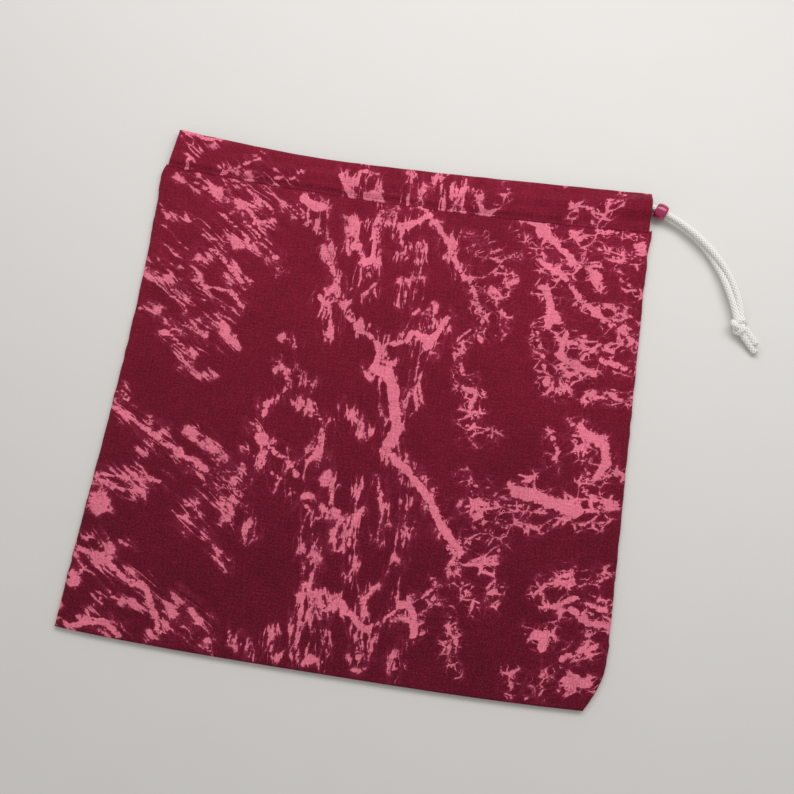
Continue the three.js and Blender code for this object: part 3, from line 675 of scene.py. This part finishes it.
def braided_tube(line, side, half_up, half_wide, sides=36, tip_length=0.0, depth=BRAID_DEPTH):
    """Verts, quads, cord places and caps of a tube, whose far end can be rounded to a tip."""
    at = travelled(line)
    ahead = np.gradient(line, axis=0)
    ahead = ahead / np.linalg.norm(ahead, axis=1)[:, None]
    up = side - (side * ahead).sum(1)[:, None] * ahead
    up = up / np.linalg.norm(up, axis=1)[:, None]
    wide = np.cross(ahead, up)
    around = np.arange(sides) / sides
    turn = 2 * math.pi * around
    tip = np.ones(len(line))
    if tip_length:
        tip = np.clip(rounded(at[-1] - at, tip_length), 0.02, 1)
    low = depth * (1 - braid_height(around[None, :], at[:, None])) * tip[:, None]
    reach_up, reach_wide = ((half * tip)[:, None] - low for half in (half_up, half_wide))
    verts = (line[:, None] + up[:, None] * (reach_up * np.cos(turn))[..., None]
             + wide[:, None] * (reach_wide * np.sin(turn))[..., None])
    index = np.arange(len(line) * sides).reshape(len(line), sides)
    a, b = index[:-1], np.roll(index, -1, 1)[:-1]
    quads = np.stack([a, b, np.roll(index, -1, 1)[1:], index[1:]], -1).reshape(-1, 4)
    u = np.broadcast_to(around, a.shape)
    v0, v1 = (np.broadcast_to(v[:, None] * MM, a.shape) for v in (at[:-1], at[1:]))
    u_next = u + 1 / sides
    corner = np.stack([np.stack(place, -1) for place in ((u, v0), (u_next, v0), (u_next, v1), (u, v1))], -2)
    caps = [index[0][::-1].tolist(), index[-1].tolist()]
    return verts.reshape(-1, 3), quads, corner.reshape(-1, 2), caps


def cord_mesh(name, tubes):
    verts, faces, corners = [], [], []
    base = 0
    for tube_verts, quads, corner, caps in tubes:
        verts.append(placed(tube_verts))
        faces += (quads + base).tolist() + [[i + base for i in cap] for cap in caps]
        first_cap, last_cap = (np.repeat(corner[k:k + 1], len(caps[0]), 0) for k in (0, len(corner) - 1))
        corners += [corner, first_cap, last_cap]
        base += len(tube_verts)
    mesh = smooth_mesh(name, np.concatenate(verts), faces, "cord", np.concatenate(corners))
    return in_scene(name, mesh)


HALF_UP, HALF_WIDE = (1.5, 1.9), (1.65, 1.95)
FREED_FROM, FREED_OVER = 10.0, 26.0
PRESSED_UP, PRESSED_WIDE = (PRESSED_CORD / 2, 1.25), (1.8, 1.5)
FREE_FROM, FREE_OVER = 24, 20
strands = []
for name, pick in (("cord_front_strand", slice(exits[0], None, -1)),
                   ("cord_back_strand", slice(exits[1], None))):
    line, side = cord_line[pick], cord_side[pick]
    freed = smooth((travelled(line) - FREED_FROM) / FREED_OVER)
    strand = cord_mesh(name, [braided_tube(line, side, lerp(*HALF_UP, freed), lerp(*HALF_WIDE, freed))])
    strands.append((strand, line))
    print(name, "in mm:", round(travelled(line)[-1], 1))
pick = slice(exits[0], exits[1] + 1, 6)
free = smooth((cord_line[pick, 0] - BAND_END + FREE_FROM) / FREE_OVER)
run = cord_mesh("cord_in_casing", [braided_tube(cord_line[pick], cord_side[pick], lerp(*PRESSED_UP, free),
                                                lerp(*PRESSED_WIDE, free), sides=16, depth=0)])


# %% [markdown]
# Both strands end in one overhand knot, drawn tight. A tight overhand knot is a trefoil with its
# loops pulled into a lump, so the braided tube follows that curve, and a short way beyond it the
# two cut ends lie side by side, each with a melted tip that keeps the braid from opening.

# %% Knot
def on_arc(degrees):
    angle = math.radians(degrees)
    x, y = TAIL_CENTRE + TAIL_RADIUS * np.array([math.cos(angle), math.sin(angle)])
    return np.array([x, y, TAIL_HEIGHT])


def overhand(size):
    t = np.linspace(0, 2 * math.pi, 150)
    x, y = np.sin(t) + 2 * np.sin(2 * t), np.cos(t) - 2 * np.cos(2 * t)
    knot = np.stack([x, y, -KNOT_HEIGHT * np.sin(3 * t)], -1) * size
    return braided_tube(knot, np.cross(np.gradient(knot, axis=0), knot), KNOT_UP, KNOT_WIDE, sides=32)


LONG_END = [(197.3, 214.8, 4.8), (200.3, 211.2, 4.0), (204.3, 207.1, 2.8), (208.2, 203.2, 2.1)]
SHORT_END = [(199.3, 216.2, 5.6), (202.2, 212.9, 4.9), (205.6, 209.2, 4.0), (207.4, 207.2, 3.5)]
KNOT_AT, KNOT_SIZE, KNOT_SHIFT = 8.5, 1.22, [-0.5, -0.6, 0]
KNOT_HEIGHT, KNOT_PULLED_IN = 1.25, [0.93, 0.98, 1.0]
KNOT_UP, KNOT_WIDE, END_WIDE, END_ROUND = 1.75, 1.95, 2.1, 1.5
MELT_FULL, MELT_OVER = 1.2, 1.6
lump = overhand(KNOT_SIZE)
turned = Matrix.Rotation(math.radians(KNOT_AT), 3, "Z")
lump_verts = (lump[0] * KNOT_PULLED_IN) @ np.array(turned).T + on_arc(KNOT_AT) + KNOT_SHIFT
tubes = [(lump_verts, *lump[1:])]
for points in (LONG_END, SHORT_END):
    line = through(points, step=0.25)
    upwards = np.tile([0, 0, 1.0], (len(line), 1))
    tubes.append(braided_tube(line, upwards, KNOT_UP, END_WIDE, sides=32, tip_length=END_ROUND))
knot = cord_mesh("cord_knot", tubes)
where = np.array([v.co for v in knot.data.vertices]) / MM
tips = [placed(points[-1]) / MM for points in (LONG_END, SHORT_END)]
to_tip = np.min([np.linalg.norm(where - tip, axis=1) for tip in tips], axis=0)
give_values(knot.data, "melt", 1 - smooth((to_tip - MELT_FULL) / MELT_OVER))
print("Knot box in mm:", (where.max(0) - where.min(0)).round(1))


# %% [markdown]
# The bead is a short, thick ring of clear plastic with rounded shoulders, tumbled smooth. Its
# section is turned round the line of the cord where it stops, against the end of the casing.

# %% Bead
BEAD_AT = 69.3
BEAD_RADIUS, BEAD_HALF, BEAD_BORE, BEAD_LIP = 4.6, 3.35, 3.05, 0.28


def bead_section():
    """Half of the ring's section: the crowned outside, then the rounded lip into the bore."""
    crown = np.linspace(0, math.pi / 2, 15)
    swell = BEAD_RADIUS - BEAD_BORE - BEAD_LIP
    half = [(BEAD_BORE + BEAD_LIP + swell * math.cos(a), BEAD_HALF * math.sin(a)) for a in crown]
    half += [(BEAD_BORE + BEAD_LIP * (1 - math.sin(a)), BEAD_HALF - BEAD_LIP * (1 - math.cos(a)))
             for a in crown[3::3]]
    return half[1:] + [(r, -h) for r, h in half[::-1]]


def turned_ring(section, sides=72):
    angle = np.linspace(0, 2 * math.pi, sides, endpoint=False)
    r, h = np.array(section).T
    ring = np.stack([r[None] * np.cos(angle)[:, None], r[None] * np.sin(angle)[:, None],
                     np.broadcast_to(h, (sides, len(h)))], -1)
    index = np.arange(sides * len(section)).reshape(sides, len(section))
    a, b = index, np.roll(index, -1, 0)
    quads = np.stack([a, b, np.roll(b, -1, 1), np.roll(a, -1, 1)], -1).reshape(-1, 4)
    return ring.reshape(-1, 3), quads


ring, quads = turned_ring(bead_section())
bead_angle = math.radians(BEAD_AT)
along = np.array([math.sin(bead_angle), -math.cos(bead_angle), 0])
out = np.array([math.cos(bead_angle), math.sin(bead_angle), 0])
ring = ring @ np.array([out, [0, 0, 1], along]) + on_arc(BEAD_AT)
bead = in_scene("bead", smooth_mesh("bead", placed(ring), quads.tolist()))
print("Bead triangles:", 2 * len(bead.data.polygons))


# %% [markdown]
# Stitches and materials are built from nodes. `node` makes a node and plugs other sockets or plain
# values into it, and `node_group` starts a group that can be shared.

# %% Node helpers
def node(tree, kind, wires=None, **settings):
    made = tree.nodes.new(kind if "Node" in kind else "ShaderNode" + kind)
    for key, value in settings.items():
        setattr(made, key, value)
    for name, source in (wires or {}).items():
        if isinstance(source, bpy.types.NodeSocket):
            tree.links.new(source, made.inputs[name])
        else:
            made.inputs[name].default_value = source
    return made


def calc(tree, operation, *sources):
    return node(tree, "Math", dict(enumerate(sources)), operation=operation).outputs[0]


def ramp(tree, value, low, high, to_low=0.0, to_high=1.0):
    wires = {"Value": value, "From Min": low, "From Max": high, "To Min": to_low, "To Max": to_high}
    return node(tree, "MapRange", wires, interpolation_type="SMOOTHSTEP").outputs[0]


def blend(tree, share, first, second):
    return node(tree, "Mix", {0: share, 2: first, 3: second}, data_type="FLOAT").outputs[0]


def moved(tree, operation, place, by):
    """A place, added to or multiplied by three numbers or another place."""
    return node(tree, "VectorMath", {0: place, 1: by}, operation=operation).outputs[0]


def in_millimetres(tree, place):
    return node(tree, "VectorMath", {0: place, "Scale": 1 / MM}, operation="SCALE").outputs[0]


def tint(tree, share, first, second, mode="MIX"):
    wires = {0: share, 6: first, 7: second}
    return node(tree, "Mix", wires, data_type="RGBA", blend_type=mode).outputs[2]


def noise(tree, place, scale, detail=2.0, roughness=0.5):
    wires = {"Vector": place, "Scale": scale, "Detail": detail, "Roughness": roughness}
    return node(tree, "TexNoise", wires).outputs[0]


def object_noise(tree, scale, detail):
    return noise(tree, node(tree, "TexCoord").outputs["Object"], scale, detail)


def stretched(tree, place, degrees, times):
    """The place, drawn out along a direction, so that a texture there is that many times longer."""
    wires = {"Vector": place, "Rotation": (0, 0, math.radians(degrees)), "Scale": (times, 1, 1)}
    return node(tree, "Mapping", wires, vector_type="TEXTURE").outputs[0]


def node_group(name, inputs, outputs, kind="ShaderNodeTree"):
    """A new group with its input and output sockets, which are given as names and types."""
    tree = bpy.data.node_groups.new(name, kind)
    for side, sockets in (("INPUT", inputs), ("OUTPUT", outputs)):
        for label, what in sockets.items():
            tree.interface.new_socket(label, in_out=side, socket_type="NodeSocket" + what)
    return tree, tree.nodes.new("NodeGroupInput").outputs, tree.nodes.new("NodeGroupOutput").inputs


def values(*labels):
    return dict.fromkeys(labels, "Float")


def use_group(tree, group, **wires):
    made = tree.nodes.new("ShaderNodeGroup")
    made.node_tree = group
    for label, source in wires.items():
        tree.links.new(source, made.inputs[label])
    return made.outputs


# %% [markdown]
# The casing is sewn on with one row of stitches that sits in the ditch between it and the pouch.
# A small node group lays the row: it walks along a line of points and puts a short, fat stitch at
# every step. The line is found by looking straight down, or up from below, onto the casing.

# %% Rows of stitches
STITCH_INPUTS = {"Geometry": "Geometry", "Pitch": "Float", "Stitch length": "Float", "Thickness": "Float",
                 "Seed": "Int", "Thread": "Material"}
STITCH_SIZES = {"Pitch": 2.5 * MM, "Stitch length": 2.1 * MM, "Thickness": 0.34 * MM, "Seed": 4}
sewing_group, given, result = node_group("row of stitches", STITCH_INPUTS, {"Geometry": "Geometry"},
                                         kind="GeometryNodeTree")


def step_of(kind, wires, **settings):
    return node(sewing_group, kind, wires, **settings).outputs


line = step_of("GeometryNodeMeshToCurve", {"Mesh": given["Geometry"]})[0]
steps = step_of("GeometryNodeCurveToPoints", {"Curve": line, "Length": given["Pitch"]}, mode="LENGTH")
ball = step_of("GeometryNodeMeshUVSphere", {"Segments": 8, "Rings": 6, "Radius": 0.5})[0]
shape = {"X": given["Thickness"], "Y": given["Thickness"], "Z": given["Stitch length"]}
stitch = step_of("GeometryNodeTransform", {"Geometry": ball, "Scale": step_of("CombineXYZ", shape)[0]})[0]
spread = {"Min": 0.88, "Max": 1.08, "Seed": given["Seed"]}
spread = step_of("FunctionNodeRandomValue", spread, data_type="FLOAT")["Value"]
row = {"Points": steps["Points"], "Rotation": steps["Rotation"], "Instance": stitch, "Scale": spread}
row = step_of("GeometryNodeInstanceOnPoints", row)[0]
row = step_of("GeometryNodeRealizeInstances", {"Geometry": row})[0]
row = step_of("GeometryNodeSetMaterial", {"Geometry": row, "Material": given["Thread"]})[0]
sewing_group.links.new(row, result["Geometry"])


def seen_on(piece, x, y, downwards):
    """Where a line straight down, or up, through a drawn place first meets the piece."""
    start = Vector(placed([x, y, 40 if downwards else -20]))
    hit, place, *_ = piece.ray_cast(start, Vector((0, 0, -1 if downwards else 1)))
    return list(place) if hit else None


def stitch_row(name, places, thread):
    mesh = bpy.data.meshes.new(name)
    mesh.from_pydata(places, [(k, k + 1) for k in range(len(places) - 1)], [])
    row = in_scene(name, mesh)
    sewing = row.modifiers.new("sewing", "NODES")
    sewing.node_group = sewing_group
    for label, value in {**STITCH_SIZES, "Thread": thread}.items():
        sewing[sewing_group.interface.items_tree[label].identifier] = value
    settle(row)
    row.data.shade_smooth()
    return row


bpy.context.view_layer.update()
SEAM_X = np.arange(LEFT + 7.5, BAND_END - 0.6, 0.8)
thread = bpy.data.materials.new("sewing_thread")
rows = []
for name, downwards in (("casing_stitches_front", True), ("casing_stitches_back", False)):
    found = [seen_on(casing, x, seam_y(x) + 0.5, downwards) for x in SEAM_X]
    rows.append(stitch_row(name, [place for place in found if place], thread))
    print(name, "triangles:", sum(len(face.vertices) - 2 for face in rows[-1].data.polygons))


# %% [markdown]
# The bead slides on the cord, and everything else stays with the bag. The model's own pieces, which
# these meshes stand in for, are hidden. Of the soft pieces, the cord is two lengths that end in the
# knot, and the cloth is two flat cuts.

# %% Pieces that move and what they stand for
cords = [run, *(strand for strand, line in strands)]
for piece in (pouch, casing, knot, *rows, *cords):
    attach(piece, "bag")
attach(bead, "bead")
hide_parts("cloth_pouch")
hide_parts("casing_band")
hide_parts("end_knot")
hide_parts("cord_bead")
for piece in cords:
    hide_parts("drawcord")


# %% [markdown]
# The marbled print starts from the strokes, which the meshes carry as "ink": millimetres inside a
# stroke. Torn edges come from noise that is added to the ink. The noise is drawn out down the
# diagonal at the left, upright in the middle, and nearly even at the right, as the streaks are.
# Thin veins and a net of cracks run between the strokes and fade away from them. The amounts say
# by how many millimetres each noise moves the edge of the ink, and the slopes how steeply the ink
# falls beside the middle of a vein or a crack.

# %% Marbled print
STREAKS = (-33, -88, 24)
PRINT_SPREAD = 0.62
TORN, FRAYED, BROKEN, SPECKLED = 4.2, 3.5, 3.8, 1.4
VEIN_SLOPE, CRACK_SLOPE = -34.0, -6.5
marble, given, result = node_group("marbled print", {"Cloth": "Vector", "Ink": "Float"},
                                   values("Pink", "Stain", "Fleck"))
cloth_mm = in_millimetres(marble, given["Cloth"])
across = node(marble, "SeparateXYZ", {0: cloth_mm}).outputs[0]
upright_share = ramp(marble, across, -78.0, -36.0)
web_share = ramp(marble, across, 24.0, 62.0)


def by_streak(left, middle, right):
    """One value for each third of the cloth, run into each other."""
    return blend(marble, web_share, blend(marble, upright_share, left, middle), right)


def centred(scale, detail, roughness):
    """Even noise round 0."""
    return calc(marble, "SUBTRACT", noise(marble, cloth_mm, scale, detail, roughness), 0.5)


def torn(scale, detail, roughness, lengths):
    """Noise round 0 that follows the direction of the streaks."""
    streaks = [noise(marble, stretched(marble, cloth_mm, degrees, length), scale, detail, roughness)
               for degrees, length in zip(STREAKS, lengths)]
    return calc(marble, "SUBTRACT", by_streak(*streaks), 0.5)


def cracks(lengths):
    """Millimetres inside a net of thin cracks whose cells follow the direction of the streaks."""
    bend = node(marble, "TexNoise", {"Vector": cloth_mm, "Scale": 0.09, "Detail": 2.5}).outputs[1]
    bend = moved(marble, "MULTIPLY", moved(marble, "SUBTRACT", bend, (0.5, 0.5, 0.5)), (6.0, 6.0, 0.0))
    bent = moved(marble, "ADD", cloth_mm, bend)
    nets = []
    for degrees, length in zip(STREAKS, lengths):
        wires = {"Vector": stretched(marble, bent, degrees, length), "Scale": 0.15}
        nets.append(node(marble, "TexVoronoi", wires, feature="DISTANCE_TO_EDGE").outputs[0])
    return calc(marble, "MULTIPLY", by_streak(*nets), CRACK_SLOPE)


ragged = torn(0.32, 4.0, 0.58, (6.0, 3.6, 1.2))
near = calc(marble, "MULTIPLY_ADD", ragged, TORN, calc(marble, "SUBTRACT", given["Ink"], PRINT_SPREAD))
near = calc(marble, "MULTIPLY_ADD", centred(0.24, 5.0, 0.62), FRAYED, near)
off_vein = calc(marble, "ABSOLUTE", torn(0.12, 3.0, 0.5, (6.0, 4.5, 1.2)))
vein = calc(marble, "MULTIPLY", off_vein, VEIN_SLOPE)
line = calc(marble, "MAXIMUM", calc(marble, "ADD", vein, -0.05), cracks((6.5, 4.0, 1.4)))
line = calc(marble, "MULTIPLY_ADD", centred(0.1, 2.0, 0.5), BROKEN, line)
line = calc(marble, "ADD", line, ramp(marble, given["Ink"], -11.0, -1.0, -1.75, 0.16))
ink = calc(marble, "MAXIMUM", near, line)
ink = calc(marble, "MULTIPLY_ADD", centred(0.7, 3.0, 0.6), SPECKLED, ink)
marble.links.new(ramp(marble, ink, -0.24, 0.18), result["Pink"])
marble.links.new(ramp(marble, ink, -1.3, 0.2), result["Stain"])
marble.links.new(ramp(marble, noise(marble, cloth_mm, 1.9, 2.0, 0.6), 0.6, 0.74), result["Fleck"])


# %% [markdown]
# The cloth is a plain weave that has been brushed: each thread goes over one and under one, some
# threads are a little thicker, and a short, pale fuzz blurs it all.

# %% Brushed plain weave
THREADS_PER_MM = 2.1
weave, given, result = node_group("brushed weave", {"Cloth": "Vector"},
                                  values("Height", "Grain", "Cloud", "Fuzz"))
place = in_millimetres(weave, given["Cloth"])
axes = node(weave, "SeparateXYZ", {0: place}).outputs
warp, weft = (calc(weave, "SINE", calc(weave, "MULTIPLY", axes[k], math.pi * THREADS_PER_MM))
              for k in (0, 1))
over = calc(weave, "MULTIPLY", warp, weft)
slubs = calc(weave, "ADD", *(noise(weave, stretched(weave, place, turn, 14), 1.5) for turn in (0, 90)))
fuzz = noise(weave, place, 2.4, 4.0, 0.65)
height = calc(weave, "MULTIPLY_ADD", over, 0.25, fuzz)
weave.links.new(calc(weave, "ADD", height, calc(weave, "MULTIPLY", slubs, 0.5)), result["Height"])
grain = calc(weave, "MULTIPLY_ADD", slubs, 0.5, noise(weave, place, 0.9, 4.0, 0.75))
weave.links.new(calc(weave, "SUBTRACT", grain, 0.5), result["Grain"])
weave.links.new(noise(weave, place, 0.03, 3.0, 0.5), result["Cloud"])
tufts = noise(weave, moved(weave, "ADD", place, (7.0, 3.0, 0.0)), 1.1, 5.0, 0.8)
weave.links.new(ramp(weave, tufts, 0.42, 0.72), result["Fuzz"])


# %% [markdown]
# The braid's own pattern is worked out again from the cord's UV map, to paint shade into the gaps
# between the ends, and fine fibres run along it.

# %% Braid
braid, given, result = node_group("braid", {"Cord": "Vector"}, values("Crown", "Fibres"))
axes = node(braid, "SeparateXYZ", {0: given["Cord"]}).outputs
turns = calc(braid, "MULTIPLY", axes[0], float(BRAID_ENDS))
steps = calc(braid, "MULTIPLY", axes[1], BRAID_ENDS / BRAID_PITCH / MM)
right_lay, left_lay = (calc(braid, operation, turns, steps) for operation in ("ADD", "SUBTRACT"))


def crown(lay):
    """A half circle over each end of the braid."""
    offset = calc(braid, "MULTIPLY_ADD", calc(braid, "FLOORED_MODULO", lay, 1.0), 2.0, -1.0)
    return calc(braid, "SQRT", calc(braid, "SUBTRACT", 1.0, calc(braid, "MULTIPLY", offset, offset)))


def lies_over(lay, other, sign):
    """How high an end of one lay is where it crosses the other lay."""
    step = calc(braid, "ADD", calc(braid, "FLOOR", lay), calc(braid, "SUBTRACT", other, 0.5))
    swing = calc(braid, "COSINE", calc(braid, "MULTIPLY", step, math.pi))
    return calc(braid, "MULTIPLY_ADD", swing, CROWN_SWING * sign, CROWN_LOW)


first = calc(braid, "MULTIPLY", crown(right_lay), lies_over(right_lay, left_lay, 1))
second = calc(braid, "MULTIPLY", crown(left_lay), lies_over(left_lay, right_lay, -1))
braid.links.new(calc(braid, "MAXIMUM", first, second), result["Crown"])
along = moved(braid, "MULTIPLY", given["Cord"], (60.0, 2200.0, 1.0))
braid.links.new(noise(braid, along, 1.0, 3.0, 0.6), result["Fibres"])


# %% [markdown]
# Each material puts its groups to use. What never changes over a surface, such as the sheen of the
# brushed cotton, is set on the shader itself.

# %% Materials
def fresh(name, **constants):
    material = bpy.data.materials.get(name) or bpy.data.materials.new(name)
    material.use_nodes = True
    shader = material.node_tree.nodes["Principled BSDF"]
    for label, value in constants.items():
        shader.inputs[label.replace("_", " ")].default_value = value
    return material, material.node_tree, shader


def bump(tree, shader, height, distance, strength):
    wires = {"Height": height, "Distance": distance * MM, "Strength": strength}
    tree.links.new(node(tree, "Bump", wires).outputs[0], shader.inputs["Normal"])


# The print's ground at the bottom of the bag and at its mouth: the step between them is painted light from
# the window, not a change in the cloth.
GROUND_IN_PAINTED_SHADE, GROUND_IN_PAINTED_LIGHT = (0.118, 0.0010, 0.0125, 1), (0.198, 0.0040, 0.0215, 1)
MAGENTA, PINK, FUZZ = (0.42, 0.035, 0.10, 1), (0.79, 0.185, 0.275, 1), (0.52, 0.17, 0.24, 1)
CORD_GAP_PAINTED_SHADE, CORD_CROWN, CORD_MELTED = (0.42, 0.40, 0.375, 1), (0.90, 0.89, 0.86, 1), (0.56, 0.55, 0.52, 1)
BEAD_DEEP, BEAD_PALE = (0.40, 0.004, 0.075, 1), (0.50, 0.015, 0.13, 1)
THREAD_DARK, THREAD_LIGHT = (0.05, 0.003, 0.009, 1), (0.13, 0.008, 0.022, 1)
cotton, tree, shader = fresh("printed_cotton", Roughness=0.92, Specular_IOR_Level=0.12, Sheen_Weight=0.16,
                             Sheen_Roughness=0.45, Sheen_Tint=(1.0, 0.55, 0.62, 1))
on_cloth = node(tree, "UVMap", uv_map="cloth").outputs[0]
stroke = node(tree, "Attribute", attribute_name="ink", attribute_type="GEOMETRY").outputs["Fac"]
printed = use_group(tree, marble, Cloth=on_cloth, Ink=stroke)
woven = use_group(tree, weave, Cloth=on_cloth)
up_the_cloth = node(tree, "SeparateXYZ", {0: on_cloth}).outputs[1]
# The ground is painted lighter up the cloth towards the window and darker towards the bottom: painted light
# and painted shade.
ground_with_painted_light = tint(tree, ramp(tree, up_the_cloth, 0.0, 0.3), GROUND_IN_PAINTED_SHADE, GROUND_IN_PAINTED_LIGHT)
colour = tint(tree, calc(tree, "MULTIPLY", printed["Stain"], 0.3), ground_with_painted_light, MAGENTA)
dabbed = calc(tree, "MULTIPLY", printed["Pink"], calc(tree, "MULTIPLY_ADD", printed["Fleck"], -0.28, 1.0))
colour = tint(tree, dabbed, colour, PINK)
colour = tint(tree, calc(tree, "MULTIPLY", woven["Fuzz"], 0.13), colour, FUZZ)
shade = calc(tree, "MULTIPLY_ADD", woven["Grain"], 1.5, 0.22)
shade = calc(tree, "MULTIPLY", shade, ramp(tree, woven["Cloud"], 0.2, 0.8, 0.9, 1.1))
grey = node(tree, "CombineColor", {0: shade, 1: shade, 2: shade}).outputs[0]
tree.links.new(tint(tree, 1.0, colour, grey, "MULTIPLY"), shader.inputs["Base Color"])
bump(tree, shader, woven["Height"], 0.12, 0.8)

white, tree, shader = fresh("white_cord", Roughness=0.85, Specular_IOR_Level=0.25, Sheen_Weight=0.3,
                            Sheen_Roughness=0.4)
twisted = use_group(tree, braid, Cord=node(tree, "UVMap", uv_map="cord").outputs[0])
melt = node(tree, "Attribute", attribute_name="melt", attribute_type="GEOMETRY").outputs["Fac"]
# The gaps between the ends of the braid are painted darker: painted shade in the recesses of the white
# cord.
lit_crowns = ramp(tree, twisted["Crown"], 0.25, 0.84, 0.0, 0.92)
lit = calc(tree, "MULTIPLY_ADD", twisted["Fibres"], 0.12, lit_crowns)
colour = tint(tree, lit, CORD_GAP_PAINTED_SHADE, CORD_CROWN)
tree.links.new(tint(tree, melt, colour, CORD_MELTED), shader.inputs["Base Color"])
tree.links.new(blend(tree, melt, 0.85, 0.35), shader.inputs["Roughness"])
bump(tree, shader, calc(tree, "MULTIPLY_ADD", twisted["Fibres"], 0.35, twisted["Crown"]), 0.18, 0.7)

plastic, tree, shader = fresh("bead_plastic", Roughness=0.1, IOR=1.5, Transmission_Weight=0.22,
                              Coat_Weight=0.6, Coat_Roughness=0.03)
cloudy = object_noise(tree, 260.0, 3.0)
colour = tint(tree, ramp(tree, cloudy, 0.35, 0.68), BEAD_DEEP, BEAD_PALE)
tree.links.new(colour, shader.inputs["Base Color"])
tree.links.new(ramp(tree, cloudy, 0.3, 0.7, 0.08, 0.2), shader.inputs["Roughness"])
bump(tree, shader, object_noise(tree, 900.0, 2.0), 0.02, 0.25)

thread, tree, shader = fresh("sewing_thread", Roughness=0.7, Specular_IOR_Level=0.25, Sheen_Weight=0.2)
dyed = tint(tree, object_noise(tree, 3500.0, 2.0), THREAD_DARK, THREAD_LIGHT)
tree.links.new(dyed, shader.inputs["Base Color"])

for pieces, material, slot in (((pouch, casing), cotton, "printed_cotton"),
                               (rows, thread, "printed_cotton"),
                               ((knot, *cords), white, "white_cord"),
                               ((bead,), plastic, "bead_plastic")):
    for piece in pieces:
        piece.data.materials.clear()
        piece.data.materials.append(material)


# %% [markdown]
# The table is plain, pale and warm grey. Daylight comes from a wide window beyond the mouth of the
# bag, a little to the right, so soft shadows fall towards the near left. A bright room fills them.
# The lamp's place and size are in metres.

# %% Table and light
table, tree, shader = fresh("table", Roughness=0.9, Specular_IOR_Level=0.2)
mottled = tint(tree, object_noise(tree, 30.0, 4.0), (0.715, 0.70, 0.675, 1), (0.735, 0.72, 0.70, 1))
tree.links.new(mottled, shader.inputs["Base Color"])
corners = placed([(-900, -700, 0), (1200, -700, 0), (1200, 1200, 0), (-900, 1200, 0)])
floor_mesh = bpy.data.meshes.new("floor")
floor_mesh.from_pydata(corners.tolist(), [], [(0, 1, 2, 3)])
floor_mesh.materials.append(table)
floor = in_scene("floor", floor_mesh)

WINDOW_AT, WINDOW_AIM = Vector((0.06, 0.4, 0.52)), Vector((-0.03, 0.06, 0.0))
light = bpy.data.lights.new("window", "AREA")
light.shape = "RECTANGLE"
light.size, light.size_y = 1.0, 0.3
light.energy = 3.3
window = in_scene("window", light)
window.location = WINDOW_AT
window.rotation_mode = "QUATERNION"
window.rotation_quaternion = (WINDOW_AIM - WINDOW_AT).to_track_quat("-Z", "Y")
world = bpy.data.worlds.new("room")
world.use_nodes = True
room = world.node_tree.nodes["Background"]
room.inputs["Color"].default_value = (1, 0.99, 0.97, 1)
room.inputs["Strength"].default_value = 0.48
bpy.context.scene.world = world
bpy.context.scene.view_settings.view_transform = "Standard"
